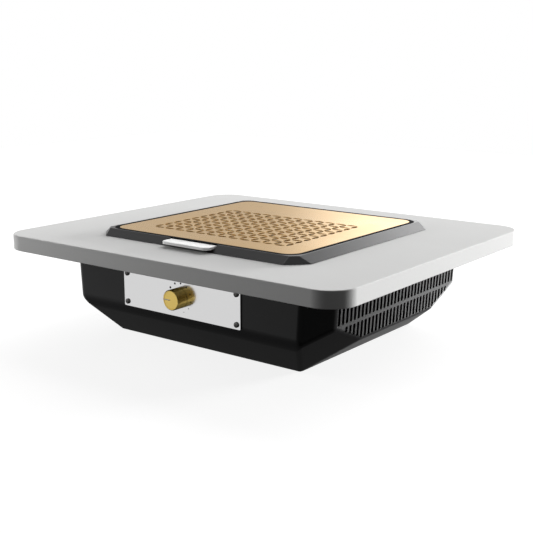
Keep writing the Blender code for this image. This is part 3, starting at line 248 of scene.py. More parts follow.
FINISHES = {
    "grey_laminate": Finish(
        "satin grey laminate", (0.61, 0.61, 0.605), 0.6, Grain.SPECKLED, specular=0, contrast=0.06
    ),
    "black_plastic": Finish("fine-textured black", (0.008, 0.008, 0.0085), 0.32, specular=0.3, contrast=0.15),
    "gold_plate": Finish(
        "brushed gold plate", (0.76, 0.49, 0.19), 0.3, Grain.BRUSHED, 1, contrast=0.05, stretch=0.6,
        relief=0.0008 * MM,
    ),
    "white_plastic": Finish("white moulding", (0.93, 0.93, 0.92), 0.38, specular=0.4, contrast=0.03),
    "filter_paper": Finish(
        "pleated non-woven", (0.84, 0.83, 0.80), 0.9, Grain.FIBRE, specular=0.1, contrast=0.12,
        relief=0.08 * MM,
    ),
    "rubber": Finish("black rubber", (0.022, 0.022, 0.022), 0.75, Grain.CAST, specular=0.2, relief=0.03 * MM),
    "fan_plastic": Finish("filled black nylon", (0.03, 0.03, 0.033), 0.45, specular=0.3, contrast=0.2),
    "steel": Finish("plated steel", (0.62, 0.62, 0.63), 0.3, Grain.CAST, 1, uneven=0.1),
    "dark_steel": Finish("blackened steel", (0.2, 0.195, 0.19), 0.2, Grain.CAST, 1, uneven=0.1),
    "copper": Finish("wound copper", (0.6, 0.27, 0.13), 0.4, Grain.CAST, 1, contrast=0.25),
    "cast_alloy": Finish("cast alloy", (0.5, 0.5, 0.51), 0.5, Grain.CAST, 1, relief=0.02 * MM),
    "polished_plate": Finish(
        "polished plate", (0.97, 0.97, 0.975), 0.16, Grain.POLISHED, 1, contrast=0.03, uneven=0.03,
        relief=0.0006 * MM,
    ),
    "brass": Finish("turned brass", (0.97, 0.68, 0.2), 0.24, Grain.TURNED, 1, contrast=0.12, stretch=0.4),
    "board_green": Finish("solder mask", (0.02, 0.13, 0.05), 0.3, Grain.CAST, contrast=0.2),
    "can_sleeve": Finish("dark sleeve", (0.02, 0.02, 0.035), 0.35),
    "gloss_black": Finish("moulded socket", (0.014, 0.014, 0.014), 0.25, specular=0.4),
}
SATIN = Finish("satin black", (0.006, 0.006, 0.0065), 0.32, specular=0.5, contrast=0.15, relief=0.002 * MM)
MATTE = Finish("matte black", (0.006, 0.006, 0.0065), 0.6, specular=0.01, contrast=0.15)
INK = Finish("dark ink", (0.03, 0.03, 0.03), 0.55, specular=0.3)
ENAMEL = Finish("white enamel", (0.82, 0.82, 0.80), 0.3, contrast=0.02)


class Bench:
    """The modelling steps, each made with Blender's own operators."""

    @staticmethod
    def take(*pieces: Piece) -> None:
        """Selects some pieces and nothing else.

        Args:
            pieces: What to select; the first one becomes active.
        """
        bpy.ops.object.select_all(action="DESELECT")
        for piece in pieces:
            piece.select_set(True)
        bpy.context.view_layer.objects.active = pieces[0]

    @classmethod
    def settle(cls, name: str) -> Piece:
        """Names the active piece, and puts its size and place into its mesh.

        Args:
            name: The piece's name.

        Returns:
            The piece.
        """
        piece = bpy.context.active_object
        piece.name = piece.data.name = name
        cls.take(piece)
        bpy.ops.object.transform_apply(location=True, rotation=True, scale=True)
        return piece

    @classmethod
    def start(cls, name: str, add: Callable[..., set], scale: Place = (1, 1, 1), **settings: object) -> Piece:
        """Adds a primitive.

        Args:
            name: The piece's name.
            add: The operator that adds it.
            scale: Its scale.
            settings: The operator's settings.

        Returns:
            The piece.
        """
        bpy.ops.object.select_all(action="DESELECT")
        add(**settings)
        bpy.context.active_object.scale = scale
        return cls.settle(name)

    @classmethod
    def block(cls, name: str, low: Place, high: Place) -> Piece:
        """Adds a box between its lowest and its highest corner."""
        low, high = Vector(low), Vector(high)
        return cls.start(name, bpy.ops.mesh.primitive_cube_add, high - low, size=1, location=(low + high) / 2)

    @classmethod
    def rod(cls, name: str, radius: float, start: Place, end: Place, sides: int = 32) -> Piece:
        """Adds a round rod.

        Args:
            name: The piece's name.
            radius: Its radius.
            start: Middle of one end.
            end: Middle of the other end.
            sides: How many sides it has.

        Returns:
            The rod.
        """
        start, end = Vector(start), Vector(end)
        turn = Vector((0, 0, 1)).rotation_difference(end - start).to_euler()
        place = {"depth": (end - start).length, "location": (start + end) / 2, "rotation": turn}
        return cls.start(name, bpy.ops.mesh.primitive_cylinder_add, vertices=sides, radius=radius, **place)

    @classmethod
    def rods(cls, name: str, spots: Sequence[Spot], radius: float, low: float, high: float) -> Piece:
        """Adds upright rods on some spots, between two heights, as one piece."""
        return cls.fuse(name, [cls.rod(name, radius, (*spot, low), (*spot, high)) for spot in spots])

    @classmethod
    def slab(cls, name: str, half: Spot, low: float, high: float, radius: float, steps: int = 12) -> Piece:
        """Adds a flat box with rounded upright edges, about the middle.

        Args:
            name: The piece's name.
            half: Half its width and half its depth.
            low: Height of its underside.
            high: Height of its top.
            radius: Radius of its upright edges.
            steps: How many faces go round each of them.

        Returns:
            The slab.
        """
        piece = cls.block(name, (-half[0], -half[1], low), (half[0], half[1], high))
        cls.round_edges(piece, radius, steps, upright)
        return piece

    @classmethod
    def turned(cls, name: str, outline: Sequence[Spot], sides: int = ROUND) -> Piece:
        """Draws an outline by extruding one point, and spins it round the Z axis.

        Args:
            name: The piece's name.
            outline: Radius and height of each point, in order.
            sides: How many sides the piece has.

        Returns:
            The turned piece.
        """
        piece = cls.start(name, bpy.ops.mesh.primitive_plane_add, size=MM)
        with cls.edit(piece):
            bpy.ops.mesh.select_mode(type="VERT")
            bpy.ops.mesh.select_all(action="SELECT")
            bpy.ops.mesh.merge(type="CENTER")
            bpy.ops.transform.translate(value=(outline[0][0], 0, outline[0][1]))
            for (r0, z0), (r1, z1) in zip(outline, outline[1:]):
                bpy.ops.mesh.extrude_region_move(TRANSFORM_OT_translate={"value": (r1 - r0, 0, z1 - z0)})
            bpy.ops.mesh.select_all(action="SELECT")
            bpy.ops.mesh.spin(steps=sides, angle=math.tau, center=(0, 0, 0), axis=(0, 0, 1))
            cls.mend()
        return piece

    @staticmethod
    def mend() -> None:
        """Merges what coincides in the open piece, and turns all its faces outwards."""
        bpy.ops.mesh.select_all(action="SELECT")
        bpy.ops.mesh.remove_doubles(threshold=TINY)
        bpy.ops.mesh.normals_make_consistent(inside=False)

    @classmethod
    @contextmanager
    def edit(cls, piece: Piece, edges: Optional[Test] = None, faces: Optional[Test] = None) -> Iterator[None]:
        """Opens a piece in edit mode with some of it selected, or all of it.

        Args:
            piece: The piece to open.
            edges: Picks edges by their two ends.
            faces: Picks faces by their middle and their outward direction.

        Yields:
            Nothing; the piece is open until the block ends.
        """
        cls.take(piece)
        bpy.ops.object.mode_set(mode="EDIT")
        bpy.ops.mesh.select_mode(type="FACE" if faces else "EDGE")
        bpy.ops.mesh.select_all(action="DESELECT" if edges or faces else "SELECT")
        mesh = bmesh.from_edit_mesh(piece.data)
        for edge in mesh.edges if edges else ():
            if edges(edge.verts[0].co, edge.verts[1].co):
                edge.select_set(True)
        for face in mesh.faces if faces else ():
            if faces(face.calc_center_median(), face.normal):
                face.select_set(True)
        bmesh.update_edit_mesh(piece.data)
        yield
        bpy.ops.object.mode_set(mode="OBJECT")

    @classmethod
    def round_edges(cls, piece: Piece, radius: float, steps: int, edges: Test) -> None:
        """Rounds the edges that a test picks by their ends, with so many faces round each."""
        with cls.edit(piece, edges=edges):
            bpy.ops.mesh.bevel(offset=radius, segments=steps, profile=0.5, affect="EDGES")

    @classmethod
    def slice(cls, piece: Piece, point: Place, outward: Place) -> None:
        """Cuts away what lies outside a plane, and closes the cut."""
        with cls.edit(piece):
            bpy.ops.mesh.bisect(plane_co=point, plane_no=outward, use_fill=True, clear_outer=True)

    @classmethod
    def shape(cls, piece: Piece, kind: str, **settings: object) -> None:
        """Adds a modifier and applies it.

        Args:
            piece: The piece to shape.
            kind: The modifier's type.
            settings: Its settings.
        """
        cls.take(piece)
        bpy.ops.object.modifier_add(type=kind)
        modifier = piece.modifiers[-1]
        for key, value in settings.items():
            setattr(modifier, key, value)
        bpy.ops.object.modifier_apply(modifier=modifier.name)

    @classmethod
    def combine(cls, piece: Piece, operation: str, *tools: Piece) -> None:
        """Works other pieces into a piece, and removes them.

        Args:
            piece: The piece that stays.
            operation: What is done with each of the others.
            tools: The others.
        """
        for tool in tools:
            cls.shape(piece, "BOOLEAN", operation=operation, solver="EXACT", object=tool)
            bpy.data.objects.remove(tool)

    @classmethod
    def cut(cls, piece: Piece, *tools: Piece) -> None:
        """Cuts other pieces out of a piece."""
        cls.combine(piece, "DIFFERENCE", *tools)

    @classmethod
    def join(cls, piece: Piece, *others: Piece) -> None:
        """Grows other pieces on to a piece."""
        cls.combine(piece, "UNION", *others)

    @classmethod
    def fuse(cls, name: str, pieces: Sequence[Piece]) -> Piece:
        """Puts pieces together in one object.

        Args:
            name: The object's name.
            pieces: What goes into it.

        Returns:
            The object.
        """
        cls.take(*pieces)
        if len(pieces) > 1:
            bpy.ops.object.join()
        return cls.settle(name)

    @staticmethod
    def copy(piece: Piece, name: str, matrix: Matrix) -> Piece:
        """Copies a piece with a mesh of its own.

        Args:
            piece: The piece to copy.
            name: The copy's name.
            matrix: Where the copy goes.

        Returns:
            The copy.
        """
        twin = bpy.data.objects.new(name, piece.data.copy())
        twin.data.name = name
        twin.data.transform(matrix)
        bpy.context.collection.objects.link(twin)
        return twin

    @classmethod
    def node_copy(cls, node: str, name: str) -> Piece:
        """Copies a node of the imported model, with its triangles merged into whole faces.

        Args:
            node: The node's name.
            name: The copy's name.

        Returns:
            The copy.
        """
        piece = cls.copy(frame["nodes"][node], name, Matrix.Identity(4))
        with cls.edit(piece):
            cls.mend()
            bpy.ops.mesh.dissolve_limited(angle_limit=math.radians(1))
        return piece

    @classmethod
    def soften(cls, piece: Piece, width: float, steps: int = 3, angle: float = 30) -> None:
        """Rounds all edges of a piece that turn by more than an angle in degrees."""
        limit = {"limit_method": "ANGLE", "angle_limit": math.radians(angle)}
        cls.shape(piece, "BEVEL", width=width, segments=steps, **limit)

    @classmethod
    def smooth(cls, piece: Piece) -> None:
        """Shades a piece smooth but for its sharp edges, with flat faces kept flat.

        Args:
            piece: The piece.
        """
        cls.take(piece)
        bpy.ops.object.shade_smooth_by_angle(angle=math.radians(SMOOTH_ANGLE))
        cls.shape(piece, "WEIGHTED_NORMAL", keep_sharp=True)


class Fitting:
    """Puts finished pieces on their bodies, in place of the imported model's nodes."""

    def __init__(self) -> None:
        """Reads which body and which material slot each node has."""
        record = frame["record"]
        bodies = record["behaviour"]["bodies"]
        self.bodies = {node: body for body, nodes in bodies.items() for node in nodes}
        self.slots = {part["node"]: part["material_slot"] for part in record["subparts"]}
        self.replaced: set[str] = set()

    def seat(self, piece: Piece, *nodes: str, finish: Optional[Finish] = None) -> None:
        """Gives a piece its finish, and lets it stand for nodes.

        Args:
            piece: The finished piece.
            nodes: The nodes that it stands for.
            finish: Its finish, if it isn't the usual one of its slot.
        """
        slot = self.slots[nodes[0]]
        self.add(piece, self.bodies[nodes[0]], finish or FINISHES[slot])
        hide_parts(*nodes)
        self.replaced.update(nodes)

    def add(self, piece: Piece, body: str, finish: Finish) -> None:
        """Gives a piece its finish, and puts it on a body.

        Args:
            piece: The finished piece.
            body: The body that it moves with.
            finish: Its finish.
        """
        piece.data.materials.clear()
        piece.data.materials.append(finish.material())
        Bench.smooth(piece)
        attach(piece, body)
        LOG.info("%s: %d faces on %s, %s", piece.name, len(piece.data.polygons), body, finish.name)

    def dress_rest(self) -> None:
        """Gives every node that is still shown its finish."""
        for node, obj in frame["nodes"].items():
            if node not in self.replaced:
                obj.data.materials.clear()
                obj.data.materials.append(FINISHES[self.slots[node]].material())
                LOG.info("%s keeps its own mesh", node)


@dataclass
class Group:
    """A sub-assembly: its sizes, and what puts its pieces on their bodies. A half is from the middle."""

    fitting: Fitting


@dataclass
class Worktop(Group):
    """The grey panel with its cut-out and the holes of its screws."""

    corner: float = 28 * MM
    edge: float = 1 * MM
    cutout: Spot = (116 * MM, 111.6 * MM)
    cutout_corner: float = 12.1 * MM
    clamp_spots: Spot = (125.6 * MM, 60 * MM)
    clamp_hole: float = 2 * MM
    pilot_spots: Spot = (159.633 * MM, 130.333 * MM)
    pilot_hole: float = 2.2 * MM
    pilot_depth: float = 10.6 * MM

    def build(self) -> None:
        """Models the panel and seats it."""
        low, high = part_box("worktop")
        under, over, deep = low[2] - self.edge, high[2] + self.edge, low[2] + self.pilot_depth
        panel = Bench.block("worktop_panel", low, high)
        Bench.round_edges(panel, self.corner, 28, upright)
        Bench.round_edges(panel, self.edge, 4, lambda a, b: not upright(a, b))
        Bench.cut(
            panel,
            Bench.slab("cutout", self.cutout, under, over, self.cutout_corner),
            Bench.rods("clamp_holes", four(*self.clamp_spots), self.clamp_hole, under, over),
            Bench.rods("pilot_holes", four(*self.pilot_spots), self.pilot_hole, under, deep),
        )
        self.fitting.seat(panel, "worktop")


@dataclass
class Bezel(Group):
    """The black frame on the worktop, with sloped sides, a collar and a notch for the pull tab.

    Attributes:
        pocket: Half sizes of the pocket for grille and cassette.
        bay: Half sizes of the way down through the collar.
        ledge: Height of the ledge that the cassette's seal lies on.
    """

    low: float = 106.8 * MM
    foot: Spot = (133.8 * MM, 126.3 * MM)
    lip: Spot = (122.4 * MM, 118 * MM)
    foot_cut: float = 19 * MM
    lip_cut: float = 8.8 * MM
    pocket: Spot = (121.6 * MM, 117.2 * MM)
    bay: Spot = (110.9 * MM, 106.5 * MM)
    collar: Spot = (115.4 * MM, 111 * MM)
    ledge: float = 107.65 * MM
    notch: float = 31 * MM
    notch_floor: float = 109.15 * MM
    notch_back: float = -100 * MM
    collar_corner: float = 11.5 * MM
    bay_corner: float = 7 * MM
    pocket_corner: float = 19.2 * MM
    hole_depth: float = 2.5 * MM
    edge: float = 0.4 * MM

    def build(self) -> None:
        """Models the frame and seats it."""
        node_low, node_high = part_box("bezel")
        top, low = node_high[2], self.low
        bezel = Bench.block("bezel_frame", (-self.foot[0], -self.foot[1], low), (*self.foot, top))
        with Bench.edit(bezel, faces=lambda middle, outward: outward.z > 0.5):
            factors = (self.lip[0] / self.foot[0], self.lip[1] / self.foot[1], 1)
            bpy.ops.transform.resize(value=factors, center_override=(0, 0, top))
        for sx, sy in CORNERS:
            at_foot = Vector((self.foot[0] - self.foot_cut / 2, self.foot[1] - self.foot_cut / 2, low))
            at_lip = Vector((self.lip[0] - self.lip_cut / 2, self.lip[1] - self.lip_cut / 2, top))
            run = at_foot - at_lip
            rise = (run.x + run.y) / (top - low)
            Bench.slice(bezel, (sx * at_foot.x, sy * at_foot.y, low), (sx, sy, rise))
        Bench.round_edges(bezel, self.edge, 3, lambda a, b: max(a.z, b.z) > low + TINY)
        Bench.join(bezel, Bench.slab("collar", self.collar, node_low[2], self.ledge, self.collar_corner))
        clamps, radius = four(*Worktop.clamp_spots), Worktop.clamp_hole
        near, far = (-self.notch, -self.foot[1] - 10 * PAST), (self.notch, self.notch_back)
        Bench.cut(
            bezel,
            Bench.slab("bay", self.bay, 0, top, self.bay_corner),
            Bench.slab("pocket", self.pocket, self.ledge, 2 * top, self.pocket_corner),
            Bench.block("notch", (*near, self.notch_floor), (*far, 2 * top)),
            Bench.rods("holes", clamps, radius, low - PAST, low + self.hole_depth),
        )
        self.fitting.seat(bezel, "bezel", finish=SATIN)


@dataclass
class Grille(Group):
    """The gold plate with its petal holes, and the thin carrier round it.

    Attributes:
        pitch: Side of the square net that has a petal on each edge.
        front: Where the net's front edge lies.
        petal: Half the width of a petal.
        tip: How far a petal's tip stays from the net's corner.
        rim: How much larger the radius of the carrier's corners is than the plate's.
        room: Room round the plate in its seat.
        seat_floor: Height of the seat's floor in the carrier.
    """

    half: Spot = (116.4 * MM, 112 * MM)
    corner: float = 14 * MM
    pitch: float = 14.3 * MM
    columns: int = 12
    rows: int = 9
    front: float = -82.6 * MM
    petal: float = 2.5 * MM
    tip: float = 0.7 * MM
    carrier: Spot = (121.3 * MM, 116.9 * MM)
    opening: Spot = (109.4 * MM, 105 * MM)
    rim: float = 4.9 * MM
    room: float = 0.3 * MM
    seat_floor: float = 0.8 * MM
    petal_edge: float = 0.55 * MM
    carrier_edge: float = 0.15 * MM

    def build(self) -> None:
        """Models plate and carrier and seats them."""
        low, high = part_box("grille")
        wide = (self.half[0] + 2 * PAST, self.half[1] + 2 * PAST)
        plate = Bench.block("grille_plate", (-wide[0], -wide[1], low[2]), (*wide, high[2]))
        Bench.cut(plate, self.petals(low[2] - 2 * PAST, high[2] + 2 * PAST))
        Bench.soften(plate, self.petal_edge, 4, 45)
        outline = Bench.slab("outline", self.half, 0, 2 * high[2], self.corner, 16)
        Bench.combine(plate, "INTERSECT", outline)
        self.fitting.seat(plate, "grille")

        low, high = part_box("grille_carrier")
        ring = Bench.slab("carrier_ring", self.carrier, low[2], high[2], self.corner + self.rim)
        seat = (self.half[0] + self.room, self.half[1] + self.room)
        Bench.cut(
            ring,
            Bench.slab("seat", seat, low[2] + self.seat_floor, 2 * high[2], self.corner + self.room),
            Bench.slab("opening", self.opening, 0, 2 * high[2], self.corner),
        )
        Bench.soften(ring, self.carrier_edge, 2)
        self.fitting.seat(ring, "grille_carrier", finish=MATTE)

    def petals(self, low: float, high: float) -> Piece:
        """Models the tool that cuts all petals: one along each edge of a square net.

        Args:
            low: Where the tool starts.
            high: Where it ends.

        Returns:
            The tool.
        """
        across = self.petal_tool(low, high)
        along = Bench.copy(across, "petal_along", Matrix.Rotation(math.radians(90), 4, "Z"))
        petals = []
        left, half = -self.columns * self.pitch / 2, self.pitch / 2
        for column in range(self.columns + 1):
            for row in range(self.rows + 1):
                x, y = left + column * self.pitch, self.front + row * self.pitch
                if column < self.columns:
                    petals.append(Bench.copy(across, "petal", Matrix.Translation((x + half, y, 0))))
                if row < self.rows:
                    petals.append(Bench.copy(along, "petal", Matrix.Translation((x, y + half, 0))))
        for pattern in (across, along):
            bpy.data.objects.remove(pattern)
        return Bench.fuse("petals", petals)

    def petal_tool(self, low: float, high: float) -> Piece:
        """Models one petal along X as a prism: two arcs that meet in points.

        Args:
            low: Where it starts.
            high: Where it ends.

        Returns:
            The tool, at the middle.
        """
        reach = self.pitch / 2 - self.tip
        piece = Bench.block("petal_across", (-reach, -self.petal, low), (reach, self.petal, high))
        with Bench.edit(piece, edges=lambda a, b: abs(a.x - b.x) > reach):
            bpy.ops.mesh.subdivide(number_cuts=9)
        for vert in piece.data.vertices:
            vert.co.y = math.copysign(self.petal, vert.co.y) * (1 - (vert.co.x / reach) ** 2)
        with Bench.edit(piece):
            Bench.mend()
        return piece


@dataclass
class Cassette(Group):
    """The filter: white frame with its pull tab, pleated medium and foam ring.

    Attributes:
        body: Half sizes of the frame's walls outside.
        inside: Half sizes between the walls.
        mouth: Half sizes of the opening in the frame's floor.
        tab: Half the width of the pull tab.
        tab_rise: How far the tab's grip stands above the flange.
        tab_crown: How far its rounded top stands above that.
        tab_inset: How much thinner the tab's arm is than the flange, above and below.
        tab_root: How far in front of the walls the arm starts.
        grip: Where the grip starts.
        paper: Thickness of the medium.
        fold: Radius of its folds.
    """

    flange: Spot = (120.8 * MM, 116.4 * MM)
    flange_corner: float = 18.4 * MM
    flange_sheet: float = 1.6 * MM
    body: Spot = (109.9 * MM, 105.5 * MM)
    body_corner: float = 6 * MM
    inside: Spot = (107.4 * MM, 103 * MM)
    inside_corner: float = 0.8 * MM
    mouth: Spot = (103.4 * MM, 99 * MM)
    floor: float = 1.5 * MM
    edge: float = 0.25 * MM
    tab: float = 30 * MM
    tab_front: float = -133.4 * MM
    tab_corner: float = 6 * MM
    tab_edge: float = 0.7 * MM
    tab_rise: float = 0.9 * MM
    tab_crown: float = 0.6 * MM
    tab_inset: float = 0.15 * MM
    tab_root: float = 0.5 * MM
    grip: float = -117.2 * MM
    pleats: int = 44
    paper: float = 0.5 * MM
    fold: float = 0.35 * MM
    seal_inside: Spot = (111.2 * MM, 106.8 * MM)
    seal_corner: float = 7 * MM
    seal_edge: float = 0.45 * MM

    def build(self) -> None:
        """Models the three pieces and seats them."""
        low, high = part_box("filter_frame")
        flange_top = high[2] - self.tab_rise
        flange_z = flange_top - self.flange_sheet
        cassette = Bench.slab("cassette_frame", self.flange, flange_z, flange_top, self.flange_corner)
        Bench.join(cassette, Bench.slab("walls", self.body, low[2], flange_z + PAST, self.body_corner))
        Bench.cut(
            cassette,
            Bench.slab("inside", self.inside, low[2] + self.floor, 2 * high[2], self.inside_corner, 3),
            Bench.slab("mouth", self.mouth, 0, high[2], self.inside_corner, 3),
        )
        Bench.soften(cassette, self.edge, 2)
        low_z, arm_top = flange_z + self.tab_inset, flange_top - self.tab_inset
        root = -self.body[1] - self.tab_root
        arm = Bench.block("tab_arm", (-self.tab, self.grip - PAST, low_z), (self.tab, root, arm_top))
        Bench.join(cassette, arm, self.pull_tab(low_z, high[2] + self.tab_crown))
        self.fitting.seat(cassette, "filter_frame")
        self.fitting.seat(self.medium(), "filter_media")

        low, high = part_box("filter_seal")
        seal = Bench.slab("foam_ring", self.flange, low[2], high[2], self.flange_corner)
        Bench.cut(seal, Bench.slab("seal_inside", self.seal_inside, 0, 2 * high[2], self.seal_corner))
        Bench.soften(seal, self.seal_edge, 4)
        self.fitting.seat(seal, "filter_seal")

    def pull_tab(self, low: float, high: float) -> Piece:
        """Models the tab that sticks out through the bezel's front.

        Args:
            low: Height of its underside.
            high: Height of its top.

        Returns:
            The tab.
        """
        front, back = self.tab_front + TINY, self.grip - TINY
        tab = Bench.block("pull_tab", (-self.tab, self.tab_front, low), (self.tab, self.grip, high))
        Bench.round_edges(tab, self.tab_corner, 10, lambda a, b: upright(a, b) and a.y < front)
        Bench.round_edges(tab, self.tab_edge, 4, lambda a, b: not upright(a, b) and min(a.y, b.y) < back)
        return tab

    def medium(self) -> Piece:
        """Folds a strip of paper into pleats.

        Returns:
            The pleated medium.
        """
        low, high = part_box("filter_media")
        width, depth, folds = high[0] - low[0], high[1] - low[1], 2 * self.pleats
        foot = (0, 0, low[2] + self.paper)
        net = {"x_subdivisions": 1, "y_subdivisions": folds, "size": 1, "location": foot}
        paper = Bench.start("pleated_medium", bpy.ops.mesh.primitive_grid_add, (width, depth, 1), **net)
        step = depth / folds
        inner = low[1] + step / 2

        def ridge(a: Vector, b: Vector) -> bool:
            """Picks every other fold."""
            return not lengthwise(a, b) and round((a.y - low[1]) / step) % 2 == 1

        def bend(a: Vector, b: Vector) -> bool:
            """Picks every fold between the first and the last edge."""
            return not lengthwise(a, b) and inner < a.y < -inner

        with Bench.edit(paper, edges=ridge):
            bpy.ops.transform.translate(value=(0, 0, high[2] - low[2] - 2 * self.paper))
        Bench.round_edges(paper, self.fold, 3, bend)
        Bench.shape(paper, "SOLIDIFY", thickness=self.paper, offset=0)
        return paper


@dataclass
class Well(Group):
    """The tub under the worktop, and the bell mouth over the fan.

    Attributes:
        room: Room round the bell mouth in the tub's floor.
        throat: Radius of the bell mouth's throat.
        bell: Radius of its curve.
        sheet: Its thickness.
        rim: Radius of its flange.
    """

    half: Spot = (113.4 * MM, 109 * MM)
    flange: Spot = (130.9 * MM, 126.5 * MM)
    inside: Spot = (110.9 * MM, 106.5 * MM)
    corner: float = 9.5 * MM
    inside_corner: float = 7 * MM
    floor: float = 2.5 * MM
    flange_sheet: float = 3 * MM
    room: float = 0.6 * MM
    throat: float = 53 * MM
    bell: float = 8 * MM
    sheet: float = 2 * MM
    rim: float = 72 * MM

    def build(self) -> None:
        """Models both pieces and seats them."""
        low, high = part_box("filter_well")
        under_flange = high[2] - self.flange_sheet
        tub = Bench.slab("well_tub", self.half, low[2], high[2] - PAST, self.corner)
        Bench.join(tub, Bench.slab("well_flange", self.flange, under_flange, high[2], self.corner))
        hole = self.throat + self.bell + self.room
        clamps, radius = four(*Worktop.clamp_spots), Worktop.clamp_hole
        Bench.cut(
            tub,
            Bench.slab("tub_inside", self.inside, low[2] + self.floor, 2 * high[2], self.inside_corner),
            Bench.rod("inlet_hole", hole, (0, 0, 0), (0, 0, high[2]), ROUND),
            Bench.rods("clamp_holes", clamps, radius, under_flange - 2 * PAST, high[2] + PAST),
        )
        self.fitting.seat(tub, "filter_well")

        low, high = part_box("inlet_ring")
        top, under = high[2], high[2] - self.sheet
        middle = (self.throat + self.bell, top - self.bell)
        outer = arc(middle, self.bell - self.sheet, 180, 90, 10)
        inner = arc(middle, self.bell, 90, 180, 10)
        foot = (self.throat + self.sheet, low[2])
        outline = [foot, *outer, (self.rim, under), (self.rim, top), *inner, (self.throat, low[2]), foot]
        self.fitting.seat(Bench.turned("bell_mouth", outline), "inlet_ring")


@dataclass
class FanWheel(Group):
    """The fan wheel: hub dome and back plate, swept blades, and a shroud round the eye.

    Attributes:
        dome: Radius of the dome over the motor.
        sheet: Thickness of its sheets.
        drop: How far the shroud falls towards the rim.
        sweep: How far a blade sweeps back.
    """

    radius: float = 85 * MM
    eye: float = 57 * MM
    dome: float = 30.4 * MM
    dome_top: float = 46.3 * MM
    fillet: float = 5 * MM
    crown: float = 2 * MM
    bore: float = 2.8 * MM
    sheet: float = 2 * MM
    drop: float = 8 * MM
    edge: float = 0.3 * MM
    blades: int = 7
    blade_steps: int = 14
    sweep: float = math.radians(52)

    def build(self) -> None:
        """Models the wheel and seats it."""
        low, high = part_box("impeller")
        back, top, sheet = low[2], high[2], self.sheet
        wall = self.dome + sheet
        outline = [(self.radius, back), (self.radius, back + sheet)]
        outline += arc((wall + self.fillet, back + sheet + self.fillet), self.fillet, 270, 180, 6)
        outline += arc((wall - self.crown, self.dome_top - self.crown), self.crown, 0, 90, 6)
        outline += [(self.bore, self.dome_top), (self.bore, self.dome_top - sheet)]
        outline += [(self.dome, self.dome_top - sheet), (self.dome, back), (self.radius, back)]
        parts = [Bench.turned("fan_hub", outline)]
        rim_top = top - self.drop
        shroud = [(self.eye, top), (self.eye, top - sheet), (self.radius, rim_top - sheet)]
        shroud += [(self.radius, rim_top), (self.eye, top)]
        parts.append(Bench.turned("fan_shroud", shroud))
        blade = self.blade(back + sheet / 2, top - sheet / 2)
        for index in range(self.blades):
            turn = Matrix.Rotation(math.tau * index / self.blades, 4, "Z")
            parts.append(Bench.copy(blade, "fan_blade", turn))
        bpy.data.objects.remove(blade)
        wheel = Bench.fuse("fan_wheel", parts)
        Bench.soften(wheel, self.edge, 2, 50)
        self.fitting.seat(wheel, "impeller")

    def blade(self, low: float, high: float) -> Piece:
        """Models one swept blade.

        Args:
            low: Height of its foot.
            high: Height of its top at the eye.

        Returns:
            The blade.
        """
        middle = (0.5, 0.5, 0)
        net = {"x_subdivisions": self.blade_steps, "y_subdivisions": 1, "size": 1, "location": middle}
        blade = Bench.start("blade_pattern", bpy.ops.mesh.primitive_grid_add, **net)
        start, stop = self.eye + self.sheet / 2, self.radius - self.sheet / 2
        for vert in blade.data.vertices:
            part, up = vert.co.x, vert.co.y
            radius = start + (stop - start) * part
            top = high - self.drop * (radius - self.eye) / (self.radius - self.eye)
            angle = -self.sweep * part
            vert.co = (radius * math.cos(angle), radius * math.sin(angle), low + (top - low) * up)
        Bench.shape(blade, "SOLIDIFY", thickness=self.sheet, offset=0)
        return blade


